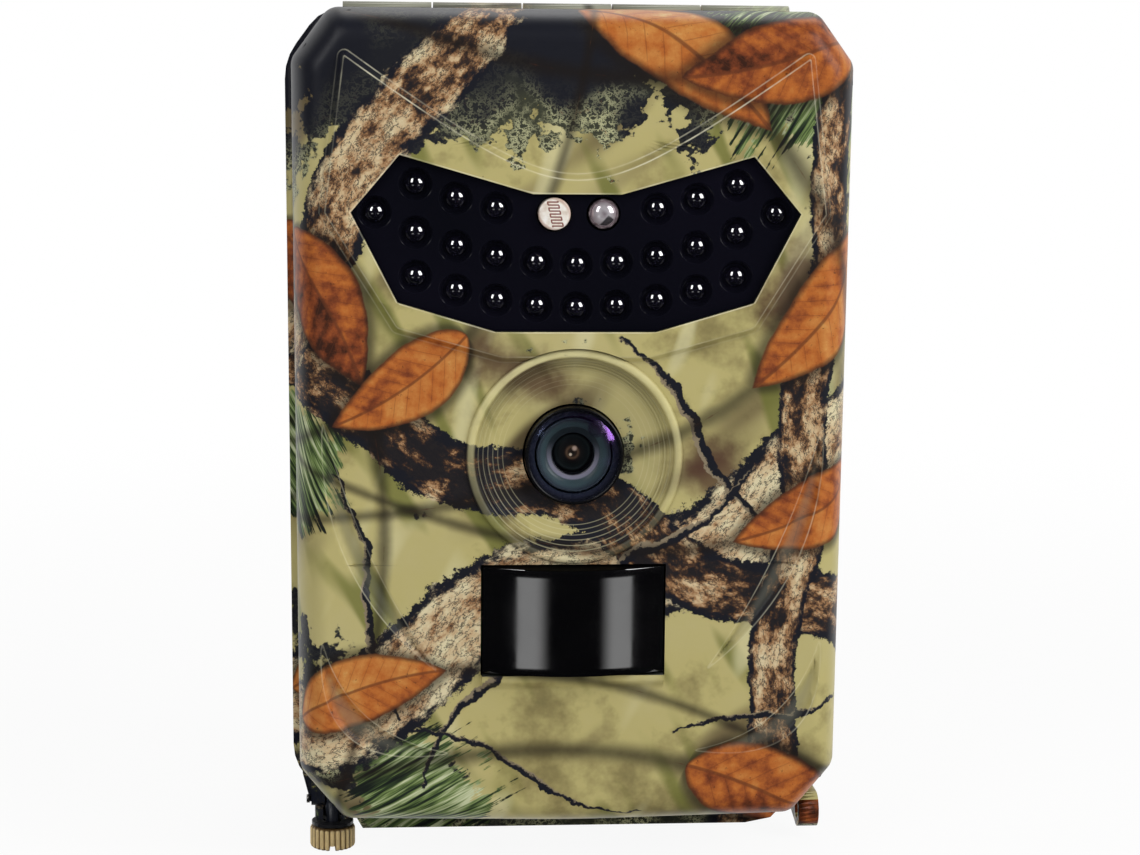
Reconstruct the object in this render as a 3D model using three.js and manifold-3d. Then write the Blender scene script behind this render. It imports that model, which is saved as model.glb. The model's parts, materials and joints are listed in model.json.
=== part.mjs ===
// Trail camera: a clamshell housing whose front half is a door hung along its top edge.
// Millimetres, +Z up, front towards -Y, +X to the viewer's right as the front is looked at.
// The origin is the middle of the tripod socket's mouth on the underside of the base.

import * as THREE from 'three';
import { mergeVertices } from 'three/addons/utils/BufferGeometryUtils.js';
import Module from 'manifold-3d';

const wasm = await Module();
wasm.setup();

// Clearances and cutting
const GAP = 0.3;
const OVERRUN = 2;

// Housing outline, seen from the front
const BODY_WIDTH_TOP = 89.8;
const BODY_TAPER = 1.5;
const BODY_WIDTH_BOTTOM = BODY_WIDTH_TOP - BODY_TAPER;
const DOOR_BOTTOM = 3.1;
const DOOR_BOTTOM_BOW = 0.8;
const DOOR_TOP = 135.5;
const TOP_CORNER_WIDTH = 6.0;
const TOP_CORNER_HEIGHT = 8.2;
const BOTTOM_CORNER_WIDTH = 7.2;
const BOTTOM_CORNER_HEIGHT = 8.6;
const CORNER_ROUND = 3.2;
const ARC_STEPS = 3;

// Housing depth
const PARTING_Y = -15;
const DOOR_DEPTH = 24;
const REAR_DEPTH = 37;
const WALL = 2.2;
const REAR_PROUD = 1.5;
const BACK_ROUND = 5;
const BACK_INSET = 3.6;
const BACK_SHOULDER_SHARE = 0.35;
const FRONT_Y = PARTING_Y - DOOR_DEPTH;
const BACK_Y = PARTING_Y + REAR_DEPTH;

// Rounded front edge of the door: how far it is drawn in, and how far behind the front face
const EDGE_INSET = 5.2;
const EDGE_DEPTH = 9;
const EDGE_INSET_SHARES = [0, 0.1, 0.32, 0.62, 1];
const EDGE_DEPTH_SHARES = [1, 0.5, 0.22, 0.07, 0];

// Chin of the rear half, under the door
const CHIN_INSET_LEFT = 10.25;
const CHIN_INSET_RIGHT = 13.55;
const CHIN_LEFT = CHIN_INSET_LEFT - BODY_WIDTH_BOTTOM / 2;
const CHIN_RIGHT = BODY_WIDTH_BOTTOM / 2 - CHIN_INSET_RIGHT;
const CHIN_REACH = 10.5;
const CHIN_SLOPE_LEFT = 1.6;
const CHIN_SLOPE_RIGHT = 6.2;
const CHIN_ROUND_SHARE = 0.3;

// Raised hood round the infrared window
const HOOD_RISE = 1.3;
const HOOD_DRAFT = 1.1;
const HOOD_MARGIN = 3.9;
const HOOD_FOOT_INSET = 0.9;
const HOOD_HORN = 0.9;
const CREASE_CLEARANCE = 2.1;
const CREASE_ROUND = 14;
const CREASE_SLOPE_SHARE = 0.76;
const CREASE_STEPS = 14;

// Infrared window
const WINDOW_SIDE_HALF = 35.5;
const WINDOW_SIDE_Z = 103.6;
const WINDOW_TOP_INSET = 7.6;
const WINDOW_TOP_HALF = WINDOW_SIDE_HALF - WINDOW_TOP_INSET;
const WINDOW_TOP_Z = 112.6;
const WINDOW_LOW_INSET = 7.3;
const WINDOW_LOW_HALF = WINDOW_SIDE_HALF - WINDOW_LOW_INSET;
const WINDOW_LOW_Z = 89.5;
const WINDOW_FOOT_HALF = 12.7;
const WINDOW_FOOT_Z = 84.9;
const WINDOW_DIP_HALF = 7.0;
const WINDOW_DIP_Z = 106.6;
const PANEL_SINK = 1.1;
const PANEL_FLANGE = 1.2;
const PANEL_FLANGE_THICK = 1.2;
const PANEL_POST_RADIUS = 1.3;

// Infrared emitters
const LED_TIP_COLUMN = 5;
const LED_TIP_INSET = 3.75;
const LED_PITCH = (WINDOW_SIDE_HALF - LED_TIP_INSET) / LED_TIP_COLUMN;
const LED_RADIUS = 1.7;
const LED_FLANGE_RADIUS = 2.1;
const LED_FLANGE_THICK = 0.9;
const CUP_RADIUS = 2.75;
const CUP_DEPTH = 1.2;
const LED_SEGMENTS = 8;
// Rows of emitters: height of each between the window's foot and its top, and its columns from the middle
const LED_ROW_BOW = 0.31;
const LED_ROWS = [
  { heightShare: 0.134, columns: [0, 1, 2, 3, 4] },
  { heightShare: 0.383, columns: [0, 1, 2, 3, 4] },
  { heightShare: 0.657, columns: [2, 3, 4] },
];
// The panel's posts stand between the rows: the columns they stand at
const POST_COLUMN_INNER = 1.5;
const POST_COLUMN_OUTER = 4.5;

// Light sensor and indicator between the two upper wings of emitters
const SENSOR_DROP = 3.1;
const LIGHT_SENSOR_X = -3.6;
const LIGHT_SENSOR_RADIUS = 2.55;
const INDICATOR_X = 4.2;
const INDICATOR_RADIUS = 2.4;
const SENSOR_CLEARANCE = 0.35;
const SENSOR_PROUD = 1.2;
const SENSOR_EDGE = 0.3;
const SENSOR_DISC_THICK = 2.0;
const SENSOR_STEM_RADIUS = 1.5;
const INDICATOR_CROWN = 1.1;

// Lens dish and lens
const LENS_Z = 64.8;
const DISH_RADIUS = 15.9;
const DISH_LIP_WIDTH = 1.7;
const DISH_LIP_RISE = 0.6;
const DISH_DEPTH = 2.6;
const DISH_WALL = 2.0;
const DISH_STEPS = 4;
const DISH_STEP_RISE = 0.35;
const DISH_STEPPED_SHARE = 0.24;
const BEZEL_RADIUS = 7.9;
const BEZEL_SINK = 0.3;
const BEZEL_LENGTH = 6.0;
const BEZEL_RIM = 0.6;
const BEZEL_SEAT = 1.6;
const BEZEL_BORE = 6.3;
const BARREL_RADIUS = 6.0;
const BARREL_LENGTH = 12.6;
const BARREL_LIP = 0.3;
const BARREL_MOUTH_DEPTH = 1.5;
const BARREL_RING_INNER = 3.4;
const BARREL_RING_OUTER = 4.2;
const BARREL_PUPIL_DEPTH = 2.4;
const GLASS_CROWN = 1.5;
const GLASS_EDGE = 1.1;
const GLASS_STEPS = 6;
const HOLDER_SIZE = 17;
const HOLDER_LENGTH = 8.2;
const HOLDER_ROUND = 1.5;
const LENS_SEGMENTS = 36;

// Motion sensor window
const PIR_WIDTH = 29.2;
const PIR_DISH_GAP = 0.2;
const PIR_TOP = LENS_Z - DISH_RADIUS - DISH_LIP_WIDTH - PIR_DISH_GAP;
const PIR_HEIGHT = 17.3;
const PIR_BULGE = 3.9;
const PIR_SKIN = 1.1;
const PIR_FLANGE = 1.5;
const PIR_STEPS = 12;
const PIR_LEDGE_HEIGHT = 1.3;
const PIR_LEDGE_RISE = 1.6;
const PIR_CAN_RADIUS = 4.6;
const PIR_CAN_FLANGE = 0.5;
const PIR_CAN_FLANGE_THICK = 0.6;
const PIR_CAN_LENGTH = 4.4;

// Crescent grooves beside the motion sensor: end points, bow of each edge, and depth
const GROOVE_DEPTH = 0.9;
const GROOVE_STEPS = 10;
const UPPER_GROOVE = { fromX: 40.0, fromZ: 70.0, toX: 22.0, toZ: 30.1, innerBow: 2.0, outerBow: 5.6 };
const LOWER_GROOVE = { fromX: 40.3, fromZ: 34.6, toX: 20.3, toZ: 16.4, innerBow: 4.2, outerBow: 8.4 };

// Door hinge along the top edge
const HINGE_DROP = 0.9;
const HINGE_Z = DOOR_TOP - HINGE_DROP;
const KNUCKLE_RADIUS = 2.2;
const HINGE_PIN_RADIUS = 1.0;
const HINGE_BORE_CLEARANCE = 0.15;
const HINGE_LENGTH = 74;
const KNUCKLE_COUNT = 5;
const HINGE_RELIEF = 0.45;
const HINGE_BLOCK_DROP = 6.8;
const HINGE_BLOCK_DEPTH = 5.6;

// Swing bolt closure at the lower left corner
const BOLT_INSET = 5.15;
const BOLT_X = BOLT_INSET - BODY_WIDTH_BOTTOM / 2;
const BOLT_Y = -20.5;
const BOLT_PIN_Z = 3.8;
const BOLT_EYE_RADIUS = 1.1;
const BOLT_EYE_LENGTH = 1.9;
const BOLT_PIN_RADIUS = 0.55;
const BOLT_SHANK_RADIUS = 1.25;
const EAR_THICK = 2.3;
const EAR_RADIUS = 1.15;
const EAR_ROOT_RISE = 9.5;
const PIN_HEAD_THICK = 0.8;
const PIN_HEAD_MARGIN = 0.2;
const FORK_THICK = 1.8;
const FORK_PRONG = 1.4;
const FORK_SLACK = 0.5;
const FORK_NOSE = 1.6;
const FORK_ROOT_RISE = 8.5;
const FORK_ROOT_DEPTH = 6;
const FORK_ROOT_FLARE = 2.2;
const WASHER_RADIUS = 3.5;
const WASHER_THICK = 0.5;
const NUT_RADIUS = 3.9;
const NUT_HEIGHT = 3.7;
const NUT_FLUTES = 24;
const NUT_FLUTE_DEPTH = 0.32;
const NUT_EDGE = 0.5;
const NUT_SLOT_WIDTH = 0.9;
const NUT_SLOT_DEPTH = 0.9;

// Lanyard lug at the lower right corner
const LUG_INSET = 1.95;
const LUG_X = BODY_WIDTH_BOTTOM / 2 - LUG_INSET;
const LUG_THICK = 3.4;
const LUG_Y = -19.0;
const LUG_Z = 0.4;
const LUG_RADIUS = 3.0;
const LUG_HOLE_RADIUS = 1.6;
const LUG_ROOT_RISE = 6.0;

// Rim ledges, seal and inner cover
const LEDGE_WIDTH = 3.4;
const LEDGE_THICK = 2.0;
const SEAL_WIDTH = 1.9;
const SEAL_SEAT = 2.0;
const RIM_INSET = 3.0;
const COVER_THICK = 1.6;
const COVER_SETBACK = 1.4;

// Boards
const BOARD_THICK = 1.4;
const LED_BOARD_DEPTH = 8.0;
const LED_BOARD_MARGIN = 1.6;
const BOARD_POST_RADIUS = 2.2;
const MAIN_BOARD_HALF = 33;
const MAIN_BOARD_BOTTOM = 14;
const MAIN_BOARD_TOP = 82;
const MAIN_BOARD_SETBACK = 3.9;
const MAIN_POST_INSET = 4;

// Controls on the inner cover
const DISPLAY_WIDTH = 50;
const DISPLAY_HEIGHT = 38;
const DISPLAY_Z = 88;
const DISPLAY_THICK = 1.6;
const DISPLAY_MARGIN = 1.5;
const DISPLAY_SINK = 0.4;
const BUTTON_RADIUS = 3.6;
const BUTTON_PROUD = 0.9;
const BUTTON_FLANGE = 0.8;
const BUTTON_FLANGE_THICK = 0.6;
const BUTTON_EDGE = 0.4;
const BUTTON_Z = 52;
const BUTTON_PITCH = 14;
const BUTTON_COUNT = 3;
const SWITCH_Z = 34;
const SWITCH_WIDTH = 5;
const SWITCH_HEIGHT = 6;
const SWITCH_PROUD = 1.0;
const SWITCH_TRAVEL = 4;
const SWITCH_FOOT = 0.8;
const SWITCH_FOOT_THICK = 0.6;
const SWITCH_GRIP = 0.5;

// Finger ribs beside the controls
const COVER_RIB_X = 30;
const COVER_RIB_WIDTH = 1.2;
const COVER_RIB_RISE = 0.8;

// Batteries and their tray
const CELL_COUNT = 4;
const CELL_RADIUS = 7.2;
const CELL_LENGTH = 49.2;
const CELL_NUB_RADIUS = 2.7;
const CELL_NUB_LENGTH = 1.2;
const CELL_SPACING = 15.2;
const CELL_EDGE = 0.6;
const TRAY_BOTTOM = 34;
const TRAY_WALL = 1.6;
const TRAY_STANDOFF = 1.0;
const TRAY_POST_X = 24;
const TRAY_FRONT_SHARE = 0.62;
const CONTACT_THICK = 0.5;
const CONTACT_HEIGHT = 9;

// Tripod socket and its collar
const SOCKET_RADIUS = 3.3;
const INSERT_RADIUS = 5.2;
const INSERT_LENGTH = 10;
const SOCKET_WALL = 3;

// Socket plug on the underside
const PLUG_X = 22;
const PLUG_Y = 4;
const PLUG_WIDTH = 15;
const PLUG_DEPTH = 8;
const PLUG_FLANGE = 1.3;
const PLUG_FLANGE_THICK = 1.2;
const PLUG_TAB = 3;

// Strap ribs and tree pads on the back
const RIB_X = 27;
const RIB_WIDTH = 8;
const RIB_RISE = 8.8;
const RIB_BOTTOM = 22;
const RIB_TOP = 116;
const RIB_ROUND = 2.5;
const STRAP_SLOT_HEIGHT = 27;
const STRAP_SLOT_DEPTH = 4.8;
const STRAP_UPPER_Z = 95;
const STRAP_LOWER_Z = 43;

// Materials
const material = (color, roughness, metalness = 0) =>
  new THREE.MeshStandardMaterial({ color, roughness, metalness });
const housingPaint = material(0x8d8358, 0.45);
const blackPlastic = material(0x0c0c10, 0.3);
const sensorFace = material(0xe3d4c2, 0.5);
const clearPlastic = material(0xb9b3b0, 0.2);
const darkGloss = material(0x050507, 0.08);
const lensGlass = material(0x15132a, 0.03);
const blackMetal = material(0x14151a, 0.35, 0.6);
const brass = material(0xb8944c, 0.35, 1);
const steel = material(0x9a9c98, 0.35, 1);
const boardGreen = material(0x1f4a2c, 0.5);
const coverPlastic = material(0x1b1c1e, 0.6);
const displayFace = material(0x10141a, 0.1);
const buttonRubber = material(0x55585a, 0.7);
const switchPlastic = material(0xc9c9c4, 0.5);
const sealRubber = material(0x17181a, 0.8);
const cellJacket = material(0x2f5d50, 0.4);

const model = new THREE.Group();

function addMesh(name, geometry, meshMaterial, parent = model) {
  const mesh = new THREE.Mesh(geometry, meshMaterial);
  mesh.name = name;
  parent.add(mesh);
  return mesh;
}

// How close two vertices lie that are one, and how near its middle a half circle is cut
const WELD_DISTANCE = 1e-4;
const HALF_CIRCLE_MARGIN = 1e-6;

// Boolean work: a geometry becomes a solid, solids are joined and cut, and a geometry comes back.
function solidFrom(geometry) {
  const bare = geometry.clone();
  bare.deleteAttribute('normal');
  bare.deleteAttribute('uv');
  const merged = mergeVertices(bare, WELD_DISTANCE);
  return new wasm.Manifold(new wasm.Mesh({
    numProp: 3,
    vertProperties: new Float32Array(merged.attributes.position.array),
    triVerts: new Uint32Array(merged.index.array),
  }));
}

function geometryFrom(solid) {
  const mesh = solid.getMesh();
  const geometry = new THREE.BufferGeometry();
  geometry.setAttribute('position', new THREE.BufferAttribute(mesh.vertProperties, 3));
  geometry.setIndex(new THREE.BufferAttribute(mesh.triVerts, 1));
  geometry.computeVertexNormals();
  return geometry;
}

function build(base, { add = [], cut = [] }) {
  let solid = solidFrom(base);
  for (const geometry of add) solid = solid.add(solidFrom(geometry));
  for (const geometry of cut) solid = solid.subtract(solidFrom(geometry));
  return geometryFrom(solid);
}

// Plane geometry: points are Vector2 with x to the right and y up.
const point = (x, y) => new THREE.Vector2(x, y);

const mirrored = (half) => [...half, ...half.slice().reverse().map((p) => point(-p.x, p.y))];

// Moves every edge of a counterclockwise outline inwards by a distance, or outwards by a negative one.
function inset(outline, distance) {
  const count = outline.length;
  return outline.map((corner, i) => {
    const before = corner.clone().sub(outline[(i + count - 1) % count]).normalize();
    const after = outline[(i + 1) % count].clone().sub(corner).normalize();
    const shift = distance / (1 + before.dot(after));
    const normal = point(-before.y - after.y, before.x + after.x);
    return corner.clone().addScaledVector(normal, shift);
  });
}

// Rounds each corner with a quadratic arc that touches both edges at the radius, or at most 45% along.
function rounded(outline, radius, steps = ARC_STEPS) {
  const count = outline.length;
  const reachShare = 0.45;
  return outline.flatMap((corner, i) => {
    const toBefore = outline[(i + count - 1) % count].clone().sub(corner);
    const toAfter = outline[(i + 1) % count].clone().sub(corner);
    const reach = Math.min(radius, toBefore.length() * reachShare, toAfter.length() * reachShare);
    const start = corner.clone().addScaledVector(toBefore.normalize(), reach);
    const end = corner.clone().addScaledVector(toAfter.normalize(), reach);
    return new THREE.QuadraticBezierCurve(start, corner, end).getPoints(steps);
  });
}

const rectangle = (halfWidth, bottom, top) =>
  [point(-halfWidth, bottom), point(halfWidth, bottom), point(halfWidth, top), point(-halfWidth, top)];

const boxOutline = (left, right, bottom, top) =>
  [point(left, bottom), point(right, bottom), point(right, top), point(left, top)];

// Extrusions of a plane outline along one axis, from one place on it to another.
function extrude(outline, length, holes = []) {
  const shape = new THREE.Shape(outline);
  shape.holes = holes.map((hole) => new THREE.Path(hole));
  return new THREE.ExtrudeGeometry(shape, { depth: length, bevelEnabled: false, curveSegments: 1 });
}

// Outline in X and Z, from frontY back to backY.
const alongY = (outline, frontY, backY, holes) =>
  extrude(outline, backY - frontY, holes).rotateX(Math.PI / 2).translate(0, backY, 0);

// Outline in Y and Z, from leftX to rightX.
const alongX = (outline, leftX, rightX, holes) =>
  extrude(outline, rightX - leftX, holes).rotateY(Math.PI / 2).rotateX(Math.PI / 2).translate(leftX, 0, 0);

// Outline in X and Y, from lowZ up to highZ.
const alongZ = (outline, lowZ, highZ, holes) => extrude(outline, highZ - lowZ, holes).translate(0, 0, lowZ);

const box = (left, right, front, back, low, high) =>
  alongZ(boxOutline(left, right, front, back), low, high);

const circle = (centreX, centreY, radius, segments) =>
  Array.from({ length: segments }, (_, i) => {
    const angle = (2 * Math.PI * i) / segments;
    return point(centreX + radius * Math.cos(angle), centreY + radius * Math.sin(angle));
  });

// Joins outlines of equal point count, each in its own plane of constant y, from front to back.
function loft(sections) {
  const count = sections[0].outline.length;
  const positions = sections.flatMap(({ outline, y }) => outline.flatMap((p) => [p.x, y, p.y]));
  const index = [];
  for (let s = 0; s + 1 < sections.length; s += 1) {
    for (let i = 0; i < count; i += 1) {
      const a = s * count + i;
      const b = s * count + ((i + 1) % count);
      index.push(a, b, b + count, a, b + count, a + count);
    }
  }
  const backBase = (sections.length - 1) * count;
  for (const [a, b, c] of THREE.ShapeUtils.triangulateShape(sections[0].outline, [])) index.push(a, c, b);
  for (const [a, b, c] of THREE.ShapeUtils.triangulateShape(sections.at(-1).outline, [])) {
    index.push(backBase + a, backBase + b, backBase + c);
  }
  const geometry = new THREE.BufferGeometry();
  geometry.setAttribute('position', new THREE.Float32BufferAttribute(positions, 3));
  geometry.setIndex(index);
  return flipIfInsideOut(geometry);
}

function flipIfInsideOut(geometry) {
  const { array } = geometry.attributes.position;
  const corner = (i) => new THREE.Vector3(array[3 * i], array[3 * i + 1], array[3 * i + 2]);
  const index = geometry.index.array;
  let volume = 0;
  for (let i = 0; i < index.length; i += 3) {
    volume += corner(index[i]).dot(corner(index[i + 1]).cross(corner(index[i + 2])));
  }
  if (volume < 0) {
    for (let i = 0; i < index.length; i += 3) [index[i], index[i + 1]] = [index[i + 1], index[i]];
  }
  return geometry;
}

// A body of revolution from a profile of [radius, distance along the axis], closed or ending on the axis.
function turned(profile, segments) {
  const points = profile.map(([radius, along]) => point(radius, along));
  return flipIfInsideOut(new THREE.LatheGeometry(points, segments));
}

const turnedY = (profile, segments, x, frontY, z) => turned(profile, segments).translate(x, frontY, z);

const turnedZ = (profile, segments, x, y, lowZ) =>
  turned(profile, segments).rotateX(Math.PI / 2).translate(x, y, lowZ);

const cylinderY = (radius, frontY, backY, x, z, segments) =>
  alongY(circle(x, z, radius, segments), frontY, backY);

// The housing

// The corners of the housing, counterclockwise from the lower left as seen from the front.
// The bottom edge may bow down at the middle.
function housingCorners(bottom, top, { spread = 0, bow = 0 } = {}) {
  const low = BODY_WIDTH_BOTTOM / 2 + spread;
  const high = BODY_WIDTH_TOP / 2 + spread;
  return [
    point(BOTTOM_CORNER_WIDTH - low, bottom),
    ...(bow > 0 ? [point(0, bottom - bow)] : []),
    point(low - BOTTOM_CORNER_WIDTH, bottom),
    point(low, bottom + BOTTOM_CORNER_HEIGHT),
    point(high, top - TOP_CORNER_HEIGHT),
    point(high - TOP_CORNER_WIDTH, top),
    point(TOP_CORNER_WIDTH - high, top),
    point(-high, top - TOP_CORNER_HEIGHT),
    point(-low, bottom + BOTTOM_CORNER_HEIGHT),
  ];
}

const DOOR_BACK_Y = PARTING_Y - GAP / 2;
const REAR_FRONT_Y = PARTING_Y + GAP / 2;
const RIM_TOP = HINGE_Z - HINGE_BLOCK_DROP + WALL;
const COVER_BACK_Y = PARTING_Y - COVER_SETBACK;
const COVER_FRONT_Y = COVER_BACK_Y - COVER_THICK;

const DOOR_CORNER_Z = DOOR_BOTTOM + DOOR_BOTTOM_BOW;
const doorCorners = () => housingCorners(DOOR_CORNER_Z, DOOR_TOP, { bow: DOOR_BOTTOM_BOW });
const rearCorners = () => housingCorners(0, DOOR_TOP, { spread: REAR_PROUD });
const rimCorners = () => housingCorners(DOOR_CORNER_Z, RIM_TOP);
const doorOutline = (inward) => rounded(inset(doorCorners(), inward), CORNER_ROUND);
const rearOutline = (inward) => rounded(inset(rearCorners(), inward), CORNER_ROUND);
const rimOutline = (inward) => rounded(inset(rimCorners(), inward), CORNER_ROUND);

// A round space about the hinge axis, open upwards
function reliefAboutAxis(radius, half) {
  const round = alongX(circle(PARTING_Y, HINGE_Z, radius, 20), -half, half);
  const mouth = box(-half, half, PARTING_Y - radius, PARTING_Y + radius, HINGE_Z, DOOR_TOP + OVERRUN);
  return [round, mouth];
}

// The space that the knuckles of both halves share
const hingeRelief = () => reliefAboutAxis(KNUCKLE_RADIUS + HINGE_RELIEF, HINGE_LENGTH / 2 + GAP);

// The door's top edge is eased over its whole width, so that it clears the rear half as it swings up
const topEdgeRelief = () => reliefAboutAxis(DOOR_TOP - HINGE_Z + GAP + GAP, BODY_WIDTH_TOP / 2 + OVERRUN);

// Every second knuckle belongs to the door; each is tied to its own half by a web below the axis.
function knuckles(ofDoor) {
  const pitch = HINGE_LENGTH / KNUCKLE_COUNT;
  const side = ofDoor ? -1 : 1;
  const far = PARTING_Y + side * (KNUCKLE_RADIUS + HINGE_RELIEF + WALL);
  const near = PARTING_Y + side * GAP;
  const pieces = [];
  for (let i = ofDoor ? 1 : 0; i < KNUCKLE_COUNT; i += 2) {
    const left = -HINGE_LENGTH / 2 + i * pitch + GAP / 2;
    const right = left + pitch - GAP;
    pieces.push(alongX(circle(PARTING_Y, HINGE_Z, KNUCKLE_RADIUS, 20), left, right));
    pieces.push(box(left, right, Math.min(near, far), Math.max(near, far), HINGE_Z - KNUCKLE_RADIUS, HINGE_Z));
  }
  return pieces;
}

const hingeBore = () =>
  alongX(circle(PARTING_Y, HINGE_Z, HINGE_PIN_RADIUS + HINGE_BORE_CLEARANCE, 12),
    -HINGE_LENGTH / 2 - OVERRUN, HINGE_LENGTH / 2 + OVERRUN);

function addHingePin() {
  const half = HINGE_LENGTH / 2 - GAP;
  addMesh('hinge_pin', alongX(circle(PARTING_Y, HINGE_Z, HINGE_PIN_RADIUS, 12), -half, half), steel);
}

// Front half of the housing: the door

const HOOD_Y = FRONT_Y - HOOD_RISE;

// The smile-shaped crease over the window is a hyperbola: flat at the middle, straight at the ends.
const creaseZ = (x) =>
  WINDOW_DIP_Z + CREASE_CLEARANCE + CREASE_SLOPE_SHARE * (Math.hypot(x, CREASE_ROUND) - CREASE_ROUND);

function hoodOutline() {
  const hornHalf = WINDOW_SIDE_HALF + HOOD_HORN;
  const crease = Array.from({ length: CREASE_STEPS + 1 }, (_, i) => {
    const x = hornHalf * (1 - (2 * i) / CREASE_STEPS);
    return point(x, creaseZ(x));
  });
  const footHalf = WINDOW_FOOT_HALF - HOOD_FOOT_INSET;
  return [
    point(-WINDOW_LOW_HALF, WINDOW_LOW_Z - HOOD_MARGIN),
    point(-footHalf, WINDOW_FOOT_Z - HOOD_MARGIN),
    point(footHalf, WINDOW_FOOT_Z - HOOD_MARGIN),
    point(WINDOW_LOW_HALF, WINDOW_LOW_Z - HOOD_MARGIN),
    point(WINDOW_SIDE_HALF + HOOD_MARGIN, WINDOW_SIDE_Z),
    ...crease,
    point(-WINDOW_SIDE_HALF - HOOD_MARGIN, WINDOW_SIDE_Z),
  ];
}

const windowOutline = () => [
  point(-WINDOW_LOW_HALF, WINDOW_LOW_Z),
  point(-WINDOW_FOOT_HALF, WINDOW_FOOT_Z),
  point(WINDOW_FOOT_HALF, WINDOW_FOOT_Z),
  point(WINDOW_LOW_HALF, WINDOW_LOW_Z),
  point(WINDOW_SIDE_HALF, WINDOW_SIDE_Z),
  point(WINDOW_TOP_HALF, WINDOW_TOP_Z),
  point(WINDOW_DIP_HALF, WINDOW_DIP_Z),
  point(-WINDOW_DIP_HALF, WINDOW_DIP_Z),
  point(-WINDOW_TOP_HALF, WINDOW_TOP_Z),
  point(-WINDOW_SIDE_HALF, WINDOW_SIDE_Z),
];

function doorShell() {
  const sections = EDGE_INSET_SHARES.map((share, i) => ({
    inward: EDGE_INSET * share, behind: EDGE_DEPTH * EDGE_DEPTH_SHARES[i],
  })).reverse();
  const outer = sections.map(({ inward, behind }) => ({ outline: doorOutline(inward), y: FRONT_Y + behind }));
  outer.push({ outline: doorOutline(0), y: DOOR_BACK_Y });
  const inner = sections.map(({ inward, behind }) => ({
    outline: doorOutline(inward + WALL), y: FRONT_Y + WALL + behind,
  }));
  inner.push({ outline: doorOutline(WALL), y: DOOR_BACK_Y + OVERRUN });
  return build(loft(outer), { cut: [loft(inner)] });
}

// A thicker band along the top carries the hinge; the same outline makes it in both halves.
const hingeBand = (frontY, backY, outline) => alongY(outline, frontY, backY, [rimOutline(WALL)]);

const doorLedge = () =>
  alongY(rimOutline(WALL / 2), COVER_FRONT_Y - GAP - LEDGE_THICK, COVER_FRONT_Y - GAP,
    [rimOutline(WALL + LEDGE_WIDTH)]);

const hood = () => loft([
  { outline: hoodOutline(), y: HOOD_Y },
  { outline: inset(hoodOutline(), -HOOD_DRAFT), y: FRONT_Y },
  { outline: inset(hoodOutline(), -HOOD_DRAFT), y: FRONT_Y + WALL / 2 },
]);

const dishBoss = () => turnedY([
  [0, WALL / 2],
  [DISH_RADIUS + DISH_LIP_WIDTH, WALL / 2],
  [DISH_RADIUS, WALL],
  [BEZEL_RADIUS + GAP + DISH_WALL, DISH_DEPTH + DISH_WALL],
  [0, DISH_DEPTH + DISH_WALL],
], LENS_SEGMENTS, 0, FRONT_Y, LENS_Z);

// The raised rim round the lens dish, with a rounded crest
function dishLip() {
  const crest = Array.from({ length: ARC_STEPS + 2 }, (_, i) => {
    const angle = (Math.PI * i) / (ARC_STEPS + 1);
    return [DISH_RADIUS + (DISH_LIP_WIDTH * (1 + Math.cos(angle))) / 2, -DISH_LIP_RISE * Math.sin(angle)];
  });
  const foot = WALL / 2;
  return turnedY([[DISH_RADIUS, foot], [DISH_RADIUS + DISH_LIP_WIDTH, foot], ...crest, [DISH_RADIUS, foot]],
    LENS_SEGMENTS, 0, FRONT_Y, LENS_Z);
}

// The dish: fine steps near its rim, then a cone down to the hole for the bezel
function dishCut() {
  const stepped = (DISH_RADIUS - BEZEL_RADIUS) * DISH_STEPPED_SHARE;
  const profile = [[0, -OVERRUN], [DISH_RADIUS, -OVERRUN], [DISH_RADIUS, 0]];
  for (let i = 0; i < DISH_STEPS; i += 1) {
    const radius = DISH_RADIUS - (stepped * (i + 1)) / DISH_STEPS;
    const depth = DISH_STEP_RISE * (i + 1);
    profile.push([radius + stepped / DISH_STEPS / 2, depth], [radius, depth]);
  }
  profile.push([BEZEL_RADIUS + GAP, DISH_DEPTH], [BEZEL_RADIUS + GAP, DISH_DEPTH + DISH_WALL + OVERRUN]);
  profile.push([0, DISH_DEPTH + DISH_WALL + OVERRUN]);
  return turnedY(profile, LENS_SEGMENTS, 0, FRONT_Y, LENS_Z);
}

// A crescent between two circular arcs that bow outwards and downwards by different amounts
function groove({ fromX, fromZ, toX, toZ, innerBow, outerBow }, side) {
  const from = point(side * fromX, fromZ);
  const to = point(side * toX, toZ);
  const chord = to.clone().sub(from);
  const outward = point(-chord.y, chord.x).normalize().multiplyScalar(side);
  const bowed = (bow, t) => from.clone().addScaledVector(chord, t)
    .addScaledVector(outward, 4 * bow * t * (1 - t));
  const outline = [];
  for (let i = 0; i <= GROOVE_STEPS; i += 1) outline.push(bowed(outerBow, i / GROOVE_STEPS));
  for (let i = GROOVE_STEPS - 1; i > 0; i -= 1) outline.push(bowed(innerBow, i / GROOVE_STEPS));
  return alongY(outline, FRONT_Y - OVERRUN, FRONT_Y + GROOVE_DEPTH);
}

const pirBottom = PIR_TOP - PIR_HEIGHT;
const pirOpening = () =>
  alongY(rectangle(PIR_WIDTH / 2 + GAP, pirBottom - GAP, PIR_TOP + GAP), FRONT_Y - OVERRUN, FRONT_Y + EDGE_DEPTH);

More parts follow.
